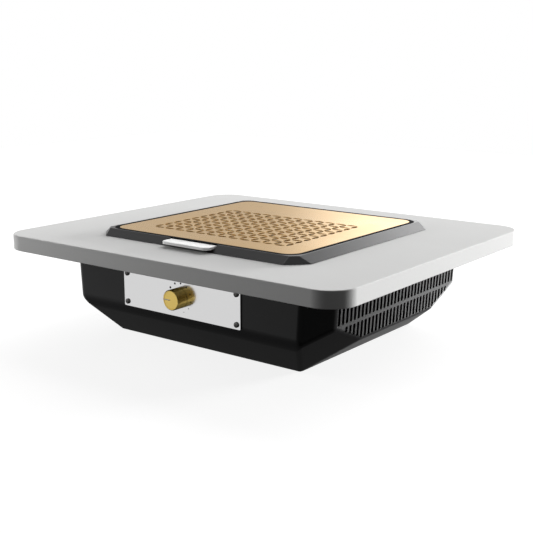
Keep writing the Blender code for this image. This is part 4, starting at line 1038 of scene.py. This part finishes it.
@dataclass
class Housing(Group):
    """The black tray: sloped walls with soft folds, two rows of vents on each side, and screw ears.

    Attributes:
        half: Half sizes at its rim.
        corner: Corner cut at the rim.
        draft: How far its side walls lean in.
        front_shoulder: Height of the fold in its front and back.
        side_shoulder: Height of the fold in its sides.
        side_reach: Half the length of the fold in its sides.
        foot: Half sizes of its flat underside.
        fold: Radius of the softest fold.
        vent_margin: How far the last vent's middle stays from the corner.
        bridge: Height of the bar between the two rows of vents.
        shortest: Length of the shortest vent that is made.
        vent_gap: How far a vent stays above the side wall's bottom edge.
        ear: Thickness of the screw ears.
        ear_drop: How far they lie under the rim.
        pegs: Where the dampers' pegs stand.
        peg_floor: Height of the floor of a peg's hole.
        board: Where the controller's bosses stand.
        window: Half sizes of the power inlet's window.
    """

    half: Spot = (167.3 * MM, 138 * MM)
    height: float = 90.2 * MM
    corner: float = 23 * MM
    wall: float = 3 * MM
    draft: float = math.radians(3.4)
    front_shoulder: float = 35.9 * MM
    side_shoulder: float = 32 * MM
    side_reach: float = 69 * MM
    foot: Spot = (119.6 * MM, 103.8 * MM)
    fold: float = 9 * MM
    slot_pitch: float = 6.62 * MM
    slot_width: float = 4 * MM
    vent_margin: float = 5.4 * MM
    bridge: float = 52.6 * MM
    bridge_width: float = 3.2 * MM
    vent_top: float = 78.2 * MM
    shortest: float = 4 * MM
    vent_gap: float = 2.2 * MM
    ear: float = 4 * MM
    ear_drop: float = 0.2 * MM
    boss: float = 3.4 * MM
    boss_reach: float = 7 * MM
    pegs: Spot = (42 * MM, 42 * MM)
    peg: float = 3 * MM
    peg_top: float = 9 * MM
    peg_hole: float = 1.6 * MM
    peg_floor: float = 4.4 * MM
    board: Spot = (-40 * MM, 40 * MM)
    board_reach: float = 12.8 * MM
    board_hole: float = 1.5 * MM
    window: Spot = (14.3 * MM, 10.3 * MM)

    def build(self) -> None:
        """Models the tray and seats it."""
        tray = self.solid("housing_tray", 0, self.height)
        self.soften_folds(tray)
        Bench.cut(tray, self.solid("inside", self.wall, 2 * self.height))
        Bench.join(tray, *self.ears(), self.bosses())
        Bench.cut(tray, self.holes(), self.vents())
        self.fitting.seat(tray, "housing")

    @property
    def lean(self) -> float:
        """How far a side wall moves in for each length that it goes down."""
        return math.tan(self.draft)

    @property
    def shoulder_x(self) -> float:
        """Where a side wall ends at its fold."""
        return self.half[0] - (self.height - self.side_shoulder) * self.lean

    def corner_facet(self, sx: int, sy: int) -> tuple[Vector, Vector]:
        """Finds the slanted facet under a corner.

        Args:
            sx: Side of the corner along X.
            sy: Side of the corner along Y.

        Returns:
            A point on the facet, and its outward direction.
        """
        corner_x = self.half[0] - self.corner - (self.height - self.front_shoulder) * self.lean
        front = Vector((sx * corner_x, sy * self.half[1], self.front_shoulder))
        side = Vector((sx * self.shoulder_x, sy * self.side_reach, self.side_shoulder))
        foot = Vector((sx * self.foot[0], sy * self.foot[1], 0))
        outward = (side - front).cross(foot - front)
        return foot, outward if outward.z < 0 else -outward

    def planes(self) -> list[tuple[Vector, Vector]]:
        """Lists the tray's outer planes.

        Returns:
            A point and the outward direction of each plane.
        """
        planes = [(Vector((0, 0, 0)), Vector((0, 0, -1)))]
        fold_x, fold_y = self.shoulder_x - self.foot[0], self.half[1] - self.foot[1]
        for side in (-1, 1):
            foot_x, foot_y = Vector((side * self.foot[0], 0, 0)), Vector((0, side * self.foot[1], 0))
            planes.append((Vector((side * self.half[0], 0, self.height)), Vector((side, 0, -self.lean))))
            planes.append((Vector((0, side * self.half[1], 0)), Vector((0, side, 0))))
            planes.append((foot_x, Vector((side * self.side_shoulder, 0, -fold_x))))
            planes.append((foot_y, Vector((0, side * self.front_shoulder, -fold_y))))
        for sx, sy in CORNERS:
            rim = Vector((sx * (self.half[0] - self.corner), sy * self.half[1], self.height))
            planes.append((rim, Vector((sx, sy, -self.lean))))
            planes.append(self.corner_facet(sx, sy))
        return planes

    def solid(self, name: str, inset: float, top: float) -> Piece:
        """Slices a block back to the tray's outline.

        Args:
            name: The piece's name.
            inset: How far the planes are moved in.
            top: Height of the block.

        Returns:
            The solid.
        """
        wide = Vector((*self.half, self.height)) * 2
        solid = Bench.block(name, -wide, (wide.x, wide.y, top))
        for point, outward in self.planes():
            outward.normalize()
            Bench.slice(solid, point - outward * inset, outward)
        with Bench.edit(solid):
            Bench.mend()
        return solid

    def soften_folds(self, tray: Piece) -> None:
        """Rounds the tray's folds: the front and back ones most, the foot's edges least.

        Args:
            tray: The tray, still solid.
        """

        def level(a: Vector, b: Vector, *heights: float) -> bool:
            """Tells whether an edge lies level at one of some heights."""
            return any(max(abs(a.z - height), abs(b.z - height)) < 0.2 * MM for height in heights)

        picks = (
            (1, lambda a, b: level(a, b, self.front_shoulder)),
            (0.38, lambda a, b: not level(a, b, 0, self.front_shoulder, self.height)),
            (0.14, lambda a, b: level(a, b, 0)),
        )
        for share, edges in picks:
            with Bench.edit(tray, edges=edges):
                bpy.ops.transform.edge_bevelweight(value=share)
        Bench.shape(tray, "BEVEL", width=self.fold, segments=6, limit_method="WEIGHT")

    def ears(self) -> list[Piece]:
        """Models the four screw ears in the corners under the rim.

        Returns:
            The ears.
        """
        ears = []
        top = self.height - self.ear_drop
        bite, gap, blunt = self.wall / 2, 0.3 * MM, 5 * MM
        near = Vector((self.half[0] - self.corner, self.half[1] - self.corner)) - Vector((bite, bite))
        far = Vector(self.half) - Vector((gap, gap))
        for sx, sy in CORNERS:
            xs, ys = sorted((sx * near.x, sx * far.x)), sorted((sy * near.y, sy * far.y))
            ear = Bench.block("ear", (xs[0], ys[0], top - self.ear), (xs[1], ys[1], top))
            Bench.slice(ear, (sx * (self.half[0] - blunt), sy * far.y, top), (sx, sy, 0))
            Bench.slice(ear, (sx * near.x, sy * (self.half[1] - bite), top), (-sx, -sy, 0))
            ears.append(ear)
        return ears

    def bosses(self) -> Piece:
        """Models the bosses behind the plate and the inlet, and the dampers' pegs.

        Returns:
            The bosses, as one object.
        """
        front, mid, bite = -self.half[1], Panel.height, self.wall / 2
        parts = []
        for x, z in four(*Panel.screw_spots):
            parts.append((self.boss, (x, front + bite, mid + z), (x, front + self.boss_reach, mid + z)))
        for x in self.board:
            parts.append((self.boss, (x, front + bite, mid), (x, front + self.board_reach, mid)))
        for x in PowerInlet.screws:
            parts.append((self.boss, (x, -front - bite, mid), (x, -front - self.boss_reach, mid)))
        for x, y in four(*self.pegs):
            parts.append((self.peg, (x, y, bite), (x, y, self.peg_top)))
        return Bench.fuse("bosses", [Bench.rod("boss", *part) for part in parts])

    def holes(self) -> Piece:
        """Models the tool for the screws' holes, the control's hole and the inlet's window.

        Returns:
            The tool.
        """
        front, mid, out, screw = -self.half[1], Panel.height, 1.3 * MM, Panel.screw_hole
        deep, screw_deep, board_ends, pilot_deep = 12 * MM, 13 * MM, (8 * MM, 25 * MM), 9 * MM
        rim, peg_end = self.height + PAST, self.peg_top + PAST
        parts = [(Panel.control_hole, (0, front - out, mid), (0, front + deep, mid))]
        for x, z in four(*Panel.screw_spots):
            parts.append((screw, (x, front - out, mid + z), (x, front + screw_deep, mid + z)))
        for x in self.board:
            parts.append((self.board_hole, *((x, front + end, mid) for end in board_ends)))
        for x in PowerInlet.screws:
            parts.append((screw, (x, -front + out, mid), (x, -front - screw_deep, mid)))
        for x, y in four(*self.pegs):
            parts.append((self.peg_hole, (x, y, self.peg_floor), (x, y, peg_end)))
        for x, y in four(*Worktop.pilot_spots):
            parts.append((Worktop.pilot_hole, (x, y, self.height - pilot_deep), (x, y, rim)))
        tools = [Bench.rod("hole", *part) for part in parts]
        x, (wide, high) = PowerInlet.x, self.window
        low = (x - wide, -front - deep, mid - high)
        tools.append(Bench.block("window", low, (x + wide, -front + out, mid + high)))
        return Bench.fuse("holes", tools)

    def slot_foot(self, y: float) -> float:
        """Finds how low a vent may start.

        Args:
            y: Where the vent is.

        Returns:
            A height clear of the side wall's bottom edge.
        """
        _, facet = self.corner_facet(1, 1)
        edge = Vector((1, 0, -self.lean)).cross(facet)
        past = max(0, abs(y) - self.side_reach)
        return self.side_shoulder + past * edge.z / edge.y + self.vent_gap

    def vents(self) -> Piece:
        """Models the tool for the vents: slots with round ends, through both side walls.

        Returns:
            The tool.
        """
        straight = self.half[1] - self.corner - self.vent_margin
        count = int(2 * straight / self.slot_pitch) + 1
        side, half = 1.2 * self.half[0], self.slot_width / 2
        lower_top = self.bridge - self.bridge_width / 2
        upper_foot = self.bridge + self.bridge_width / 2
        tools = []
        for index in range(count):
            y = (index - (count - 1) / 2) * self.slot_pitch
            for low, high in ((upper_foot, self.vent_top), (self.slot_foot(y), lower_top)):
                if high - low >= self.shortest:
                    slot = Bench.block("vent", (-side, y - half, low), (side, y + half, high))
                    Bench.round_edges(slot, 0.6 * half, 5, lambda a, b: abs(a.x - b.x) > side)
                    tools.append(slot)
        return Bench.fuse("vents", tools)


@dataclass
class Panel(Group):
    """The polished plate on the front, its dial dots, and the knob.

    Attributes:
        height: Height of the plate's middle, and of the knob's axis.
        dial: Radius of the circle of dots.
        first_hour: Where the first dot is, on a clock's face.
        hours: How far the dots go round.
        first_dot: Radius of the first dot.
        dot_loss: How much smaller the last dot is.
        ink: Thickness of the dots.
        ribs: How many ribs the knob's grip has.
        groove_share: Size of the grip in its grooves, as a share of its size on its ribs.
        recess: Radius and depth of the hollow in the knob's back.
        face_sheet: How much is left in front of the shaft's bore.
        set_ends: Where the set screw's hole starts and ends, from the knob's axis.
        pointer_ends: Where the groove for the pointer line starts and ends.
        line_drop: How far the line lies behind the knob's front.
    """

    height: float = 60.7 * MM
    half: Spot = (76 * MM, 19.4 * MM)
    back: float = -138.3 * MM
    front: float = -139.3 * MM
    corner: float = 1.2 * MM
    edge: float = 0.18 * MM
    screw_spots: Spot = (71.3 * MM, 14.7 * MM)
    screw_hole: float = 1.9 * MM
    control_hole: float = 4.3 * MM
    dial: float = 14.7 * MM
    first_hour: float = 10.2
    hours: float = 7.1
    dots: int = 8
    first_dot: float = 1.15 * MM
    dot_loss: float = 0.7 * MM
    ink: float = 0.06 * MM
    knob_radius: float = 10.2 * MM
    knob_back: float = -139.5 * MM
    knob_front: float = -152.3 * MM
    ribs: int = 64
    groove_share: float = 0.962
    shoulder: float = 0.7 * MM
    back_edge: float = 0.2 * MM
    face_rim: float = 0.7 * MM
    face_depth: float = 0.25 * MM
    recess: Spot = (6.95 * MM, 3.5 * MM)
    shaft_bore: float = 3.3 * MM
    face_sheet: float = 3 * MM
    set_hole: float = 1.8 * MM
    set_ends: Spot = (-3 * MM, -12 * MM)
    pointer_ends: Spot = (-9.4 * MM, -0.7 * MM)
    pointer_half: float = 0.5 * MM
    pointer_depth: float = 0.7 * MM
    line_ends: Spot = (-8.6 * MM, -1.2 * MM)
    line_half: float = 0.42 * MM
    line_sheet: float = 0.35 * MM
    line_drop: float = 0.3 * MM
    line_edge: float = 0.06 * MM

    def build(self) -> None:
        """Models plate, dots and knob and seats them."""
        wide, high = self.half
        low_corner = (-wide, self.front, self.height - high)
        plate = Bench.block("panel_plate", low_corner, (wide, self.back, self.height + high))
        Bench.round_edges(plate, self.corner, 6, lengthwise)
        Bench.round_edges(plate, self.edge, 2, lambda a, b: max(a.y, b.y) < self.front + TINY)
        near, far = self.front - PAST, self.back + PAST
        tools = [self.bore(self.control_hole, near, far)]
        tools += [self.bore(self.screw_hole, near, far, *spot) for spot in four(*self.screw_spots)]
        Bench.cut(plate, Bench.fuse("panel_holes", tools))
        self.fitting.seat(plate, "control_plate")
        self.fitting.add(self.dial_dots(), "base", INK)
        self.fitting.seat(self.knob(), "knob")
        tip, (first, last) = self.knob_front + self.line_drop, self.line_ends
        low_corner = (first, tip, self.height - self.line_half)
        high_corner = (last, tip + self.line_sheet, self.height + self.line_half)
        line = Bench.block("pointer_line", low_corner, high_corner)
        Bench.soften(line, self.line_edge, 2)
        self.fitting.add(line, "knob", ENAMEL)

    def bore(
        self, radius: float, near: float, far: float, x: float = 0, z: float = 0, sides: int = 32
    ) -> Piece:
        """Models a rod from front to back, at a spot from the middle."""
        return Bench.rod("bore", radius, (x, near, self.height + z), (x, far, self.height + z), sides)

    def dial_dots(self) -> Piece:
        """Models the printed dots round the knob, from large to small.

        Returns:
            The dots, as one piece.
        """
        dots = []
        for index in range(self.dots):
            part = index / (self.dots - 1)
            turn = math.radians(30 * (self.first_hour + self.hours * part))
            x, z = self.dial * math.sin(turn), self.dial * math.cos(turn)
            radius = self.first_dot - self.dot_loss * part
            dots.append(self.bore(radius, self.front, self.front - self.ink, x, z))
        return Bench.fuse("dial_dots", dots)

    def knob(self) -> Piece:
        """Models the knob: ribbed grip, rounded shoulders and a turned face with a pointer groove.

        Returns:
            The knob.
        """
        start, end = self.knob_back - self.back_edge, self.knob_front + self.shoulder
        axis = (0, start, self.height), (0, end, self.height)
        knob = Bench.rod("knob_grip", self.knob_radius, *axis, 2 * self.ribs)
        middle = Vector((0, (start + end) / 2, self.height))
        turn = math.tau / (2 * self.ribs)

        def groove(a: Vector, b: Vector) -> bool:
            """Picks every other edge along the grip."""
            return lengthwise(a, b) and round(math.atan2(a.x, a.z - self.height) / turn) % 2 == 1

        with Bench.edit(knob, edges=groove):
            factors = (self.groove_share, 1, self.groove_share)
            bpy.ops.transform.resize(value=factors, center_override=middle)
        for side, step, shrink in ((-1, self.shoulder, 0.93), (1, self.back_edge, 0.98)):
            with Bench.edit(knob, faces=lambda spot, outward: outward.y * side > 0.9):
                bpy.ops.mesh.extrude_region_move(TRANSFORM_OT_translate={"value": (0, side * step, 0)})
                bpy.ops.transform.resize(value=(shrink, 1, shrink), center_override=middle)
        with Bench.edit(knob, faces=lambda spot, outward: outward.y < -0.9):
            bpy.ops.mesh.inset(thickness=self.face_rim)
            bpy.ops.mesh.extrude_region_move(TRANSFORM_OT_translate={"value": (0, self.face_depth, 0)})
        low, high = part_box("knob_set_screw")
        y = (low[1] + high[1]) / 2
        screw = [(0, y, self.height + end) for end in self.set_ends]
        hollow, depth = self.recess
        hollow_end, bore_end = self.knob_back - depth, self.knob_front + self.face_sheet
        first, last = self.pointer_ends
        near = (first, self.knob_front - PAST, self.height - self.pointer_half)
        far = (last, self.knob_front + self.pointer_depth, self.height + self.pointer_half)
        Bench.cut(
            knob,
            self.bore(hollow, self.knob_back + PAST, hollow_end, sides=48),
            self.bore(self.shaft_bore, hollow_end + PAST, bore_end, sides=48),
            Bench.block("pointer", near, far),
            Bench.rod("set_hole", self.set_hole, *screw),
        )
        return knob


@dataclass
class PowerInlet(Group):
    """The flanged socket in the back wall, and its contacts.

    Attributes:
        x: Where its middle is.
        screws: Where its screws sit.
        cave: Half sizes of its mouth.
        floor: Where the mouth's floor lies.
        contacts: Where its contacts stand, from its middle.
        seat: Half sizes of a contact's seat.
        seat_back: How far the seats' middles lie behind the mouth's floor.
    """

    x: float = 60 * MM
    screws: Spot = (x - 20 * MM, x + 20 * MM)
    half: Spot = (14 * MM, 10 * MM)
    corner: float = 0.8 * MM
    flange: Spot = (25 * MM, 12 * MM)
    flange_corner: float = 3 * MM
    flange_sheet: float = 2.5 * MM
    cave: Spot = (12.25 * MM, 8.25 * MM)
    floor: float = 124 * MM
    edge: float = 0.3 * MM
    contacts: tuple[Spot, ...] = ((-7 * MM, 2 * MM), (0, -2 * MM), (7 * MM, 2 * MM))
    contact_edge: float = 0.4 * MM
    seat: Way = (2.3 * MM, 1.5 * MM, 1.3 * MM)
    seat_back: float = 0.5 * MM

    def build(self) -> None:
        """Models the socket and its contacts and seats them."""
        low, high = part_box("power_inlet")
        mouth, mid, reach = high[1], Panel.height, Vector(self.seat)
        socket = self.box("inlet_socket", self.half, low[1], mouth - PAST, self.corner)
        back = mouth - self.flange_sheet
        Bench.join(socket, self.box("inlet_flange", self.flange, back, mouth, self.flange_corner))
        tools = [self.box("cave", self.cave, self.floor, mouth + PAST, self.corner)]
        for x, z in self.contacts:
            spot = Vector((self.x + x, self.floor - self.seat_back, mid + z))
            tools.append(Bench.block("contact_seat", spot - reach, spot + reach))
        for x in self.screws:
            ends = (x, mouth - 2 * self.flange_sheet, mid), (x, mouth + PAST, mid)
            tools.append(Bench.rod("screw_hole", Panel.screw_hole, *ends))
        Bench.cut(socket, *tools)
        Bench.soften(socket, self.edge, 3)
        self.fitting.seat(socket, "power_inlet")
        for index in (1, 2, 3):
            contact = Bench.node_copy(f"inlet_contact_{index}", f"contact_blade_{index}")
            Bench.soften(contact, self.contact_edge, 3)
            self.fitting.seat(contact, f"inlet_contact_{index}")

    def box(self, name: str, half: Spot, near: float, far: float, radius: float) -> Piece:
        """Models a block along Y with rounded long edges.

        Args:
            name: The piece's name.
            half: Half its width and half its height.
            near: Where it starts.
            far: Where it ends.
            radius: Radius of its long edges.

        Returns:
            The block.
        """
        low = (self.x - half[0], near, Panel.height - half[1])
        block = Bench.block(name, low, (self.x + half[0], far, Panel.height + half[1]))
        Bench.round_edges(block, radius, 6, lengthwise)
        return block


class Facing(Enum):
    """Which way a screw's head looks."""

    UP = (0, 0, 1)
    DOWN = (0, 0, -1)
    FRONT = (0, -1, 0)
    BACK = (0, 1, 0)


@dataclass(frozen=True)
class ScrewKind:
    """A kind of screw with a cross recess.

    Attributes:
        node: Start of its nodes' names.
        head: Height of the head.
        shank: Radius of the shank.
    """

    node: str
    count: int
    facing: Facing
    head: float
    shank: float

    def build(self, fitting: Fitting) -> None:
        """Models one screw, copies it to each place and seats the copies.

        Args:
            fitting: Puts the pieces on their body.
        """
        outward = Vector(self.facing.value)
        low, high = (Vector(corner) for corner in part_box(f"{self.node}_1"))
        size = high - low
        length = abs(size.dot(outward))
        radius = (size.x + size.y + size.z - length) / 4
        pattern = self.pattern(radius, length - self.head)
        turn = Vector((0, 0, 1)).rotation_difference(outward).to_matrix().to_4x4()
        for index in range(1, self.count + 1):
            node = f"{self.node}_{index}"
            low, high = (Vector(corner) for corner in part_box(node))
            seat = (low + high) / 2 + outward * (length / 2 - self.head)
            screw = Bench.copy(pattern, f"{node}_turned", Matrix.Translation(seat) @ turn)
            fitting.seat(screw, node)
        bpy.data.objects.remove(pattern)

    def pattern(self, radius: float, length: float) -> Piece:
        """Models a screw that stands on its tip, with its head's seat at the origin.

        Args:
            radius: The head's radius.
            length: The shank's length.

        Returns:
            The screw.
        """
        head, shank = self.head, self.shank
        outline = [(0, -length), (0.6 * shank, -length), (shank, -length + 0.6 * shank), (shank, 0)]
        outline += [(radius - 0.1 * MM, 0), (radius, 0.1 * MM)]
        outline += [(radius * x, head * (0.35 + 0.65 * z)) for x, z in arc((0, 0), 1, 0, 80, 8)]
        outline.append((0, head))
        screw = Bench.turned("screw_pattern", outline, 40)
        reach, half, deep = 0.58 * radius, 0.13 * radius, 0.4 * head
        for x, y in ((reach, half), (half, reach)):
            Bench.cut(screw, Bench.block("recess", (-x, -y, deep), (x, y, 2 * head)))
        return screw


SCREWS = (
    ScrewKind("panel_screw", 4, Facing.FRONT, 1.6 * MM, 1.5 * MM),
    ScrewKind("inlet_screw", 2, Facing.BACK, 1.6 * MM, 1.5 * MM),
    ScrewKind("housing_screw", 4, Facing.DOWN, 2.4 * MM, 1.8 * MM),
    ScrewKind("clamp_screw", 4, Facing.DOWN, 2.4 * MM, 1.6 * MM),
    ScrewKind("motor_screw", 3, Facing.UP, 1.8 * MM, 1.5 * MM),
    ScrewKind("damper_screw", 4, Facing.UP, 2 * MM, 1.2 * MM),
    ScrewKind("board_screw", 2, Facing.BACK, 1.6 * MM, 1.1 * MM),
)


@dataclass(frozen=True)
class Softbox:
    """A soft light that looks at the object.

    Attributes:
        azimuth: Where it stands, in degrees from the back towards the right.
        elevation: How high it stands, in degrees.
        distance: How far away it is.
        radiance: How bright it is.
        mirrored: Whether it shows in reflections.
    """

    name: str
    azimuth: float
    elevation: float
    distance: float
    width: float
    height: float
    radiance: float
    mirrored: bool = True

    def build(self) -> None:
        """Adds the light."""
        light = bpy.data.lights.new(self.name, "AREA")
        light.shape = "RECTANGLE"
        light.size, light.size_y = self.width, self.height
        light.energy = self.radiance * math.pi * self.width * self.height
        obj = bpy.data.objects.new(self.name, light)
        bpy.context.collection.objects.link(obj)
        turn, rise = math.radians(self.azimuth), math.radians(self.elevation)
        away = Vector((math.sin(turn) * math.cos(rise), math.cos(turn) * math.cos(rise), math.sin(rise)))
        obj.location = Vector((0, 0, 0.06)) + away * self.distance
        obj.rotation_euler = away.to_track_quat("Z", "Y").to_euler()
        obj.visible_camera, obj.visible_glossy = False, self.mirrored


@dataclass(frozen=True)
class Fade:
    """How the surroundings go from one level to another along a direction, between a start and an end."""

    way: Way
    first: float
    last: float
    start: float
    end: float


UPWARD: Way = (0, 0, 1)
CAMERA_SIDE: Way = (0.61, -0.79, 0)


@dataclass
class Studio:
    """White surroundings, soft lights and the camera.

    Attributes:
        ambient: How bright the surroundings are for dull surfaces.
        bright: How bright they are in reflections.
        plain: Where they are darker.
        glows: Where they are brighter in reflections: behind, overhead, and high up in front.
        lens: The camera's focal length, in mm.
        floor_glow: How bright the floor is by itself.
        floor_grey: How much light it gives back.
    """

    lights: tuple[Softbox, ...] = (
        Softbox("key", 27, 4, 4, 1.28, 0.96, 106, False),
        Softbox("panel", 11, -8, 2, 1.05, 1.18, 5),
        Softbox("sky", -12, 38, 3.5, 5, 3.2, 3.7, False),
        Softbox("slope", 0, 24.5, 2, 0.7, 0.55, 4.5),
        Softbox("fill", -118, 8, 1.05, 0.6, 0.5, 7.4, False),
    )
    ambient: float = 0.2
    bright: float = 0.68
    plain: tuple[Fade, ...] = (Fade(CAMERA_SIDE, 1, 0.2, 0.32, 0.6), Fade(UPWARD, 0.16, 1, -0.6, -0.3))
    glows: tuple[tuple[Fade, ...], ...] = (
        (
            Fade((0.819, 0.574, 0), 0, 1.9, -0.045, 0.08),
            Fade((0.966, 0.259, 0), 1, 0, -0.1, 0.15),
            Fade(UPWARD, 0, 1, -0.2, 0),
            Fade(UPWARD, 1, 0, 0.35, 0.6),
        ),
        (Fade(UPWARD, 0, 2.2, 0.85, 0.96), Fade((0.9, -0.43, 0), 1, 0, 0, 0.25)),
        (Fade(CAMERA_SIDE, 0, 0.5, 0.32, 0.6), Fade(UPWARD, 0, 1, 0.15, 0.45)),
    )
    eye: Way = (0.6160, -0.8029, 0.2964)
    aim: Way = (-0.00039, 0, 0.06677)
    lens: float = 64.69
    floor_size: float = 3.6
    floor_glow: float = 0.84
    floor_grey: float = 0.25

    def build(self) -> None:
        """Sets up surroundings, lights and camera."""
        scene = bpy.context.scene
        scene.view_settings.view_transform = "Standard"
        scene.world = self.surroundings()
        self.floor()
        for light in self.lights:
            light.build()
        camera = bpy.data.cameras.new("camera")
        camera.lens, camera.sensor_width = self.lens, 36
        obj = bpy.data.objects.new("camera", camera)
        bpy.context.collection.objects.link(obj)
        obj.location = self.eye
        obj.rotation_euler = (Vector(self.aim) - Vector(self.eye)).to_track_quat("-Z", "Y").to_euler()
        scene.camera = obj

    def surroundings(self) -> bpy.types.World:
        """Makes a world that is white behind the object, and darker on one side as a light.

        Returns:
            The world.
        """
        world = bpy.data.worlds.new("white surroundings")
        world.use_nodes = True
        net = Net(world.node_tree)
        path = net.add("LightPath")
        level = net.ramp(path["Is Glossy Ray"], self.ambient, self.bright)
        lit = net.work("MULTIPLY", level, self.patch(net, self.plain))
        glow = net.work("ADD", *(self.patch(net, fades) for fades in self.glows))
        lit = net.work("ADD", lit, net.work("MULTIPLY", glow, path["Is Glossy Ray"]))
        shown = net.work("MAXIMUM", lit, path["Is Camera Ray"])
        net.feed(net.tree.nodes["Background"], {"Color": (1, 1, 1, 1), "Strength": shown})
        return world

    @staticmethod
    def patch(net: Net, fades: Sequence[Fade]) -> Socket:
        """Works out how bright the surroundings are in each direction.

        Args:
            net: The world's nodes.
            fades: What is multiplied.

        Returns:
            The socket that gives the level.
        """
        place = net.add("TexCoord")["Generated"]
        ramps = []
        for fade in fades:
            along = net.add("VectorMath", {0: place, 1: fade.way}, operation="DOT_PRODUCT")["Value"]
            ramps.append(net.ramp(along, fade.first, fade.last, fade.start, fade.end))
        return net.work("MULTIPLY", *ramps)

    def floor(self) -> None:
        """Adds a white floor that takes a faint shadow; only the camera sees it."""
        place = {"size": self.floor_size, "location": (0, 0, -0.3 * MM)}
        floor = Bench.start("floor", bpy.ops.mesh.primitive_plane_add, **place)
        material = bpy.data.materials.new("white floor")
        material.use_nodes = True
        net = Net(material.node_tree)
        net.tree.nodes.remove(net.tree.nodes["Principled BSDF"])
        white = net.add("Emission", {"Strength": self.floor_glow})[0]
        dull = net.add("BsdfDiffuse", {"Color": (*[self.floor_grey] * 3, 1)})[0]
        both = net.add("AddShader", {0: white, 1: dull})[0]
        net.feed(net.tree.nodes["Material Output"], {"Surface": both})
        floor.data.materials.append(material)
        floor.visible_glossy = floor.visible_diffuse = floor.visible_shadow = False


def main() -> None:
    """Models, dresses and lights the collector."""
    logging.basicConfig(level=logging.INFO, format="%(relativeCreated)d %(name)s: %(message)s")
    fitting = Fitting()
    Studio().build()
    for group in (Worktop, Bezel, Grille, Cassette, Well, FanWheel, Housing, Panel, PowerInlet):
        group(fitting).build()
    for kind in SCREWS:
        kind.build(fitting)
    fitting.dress_rest()


if __name__ == "__main__":
    main()
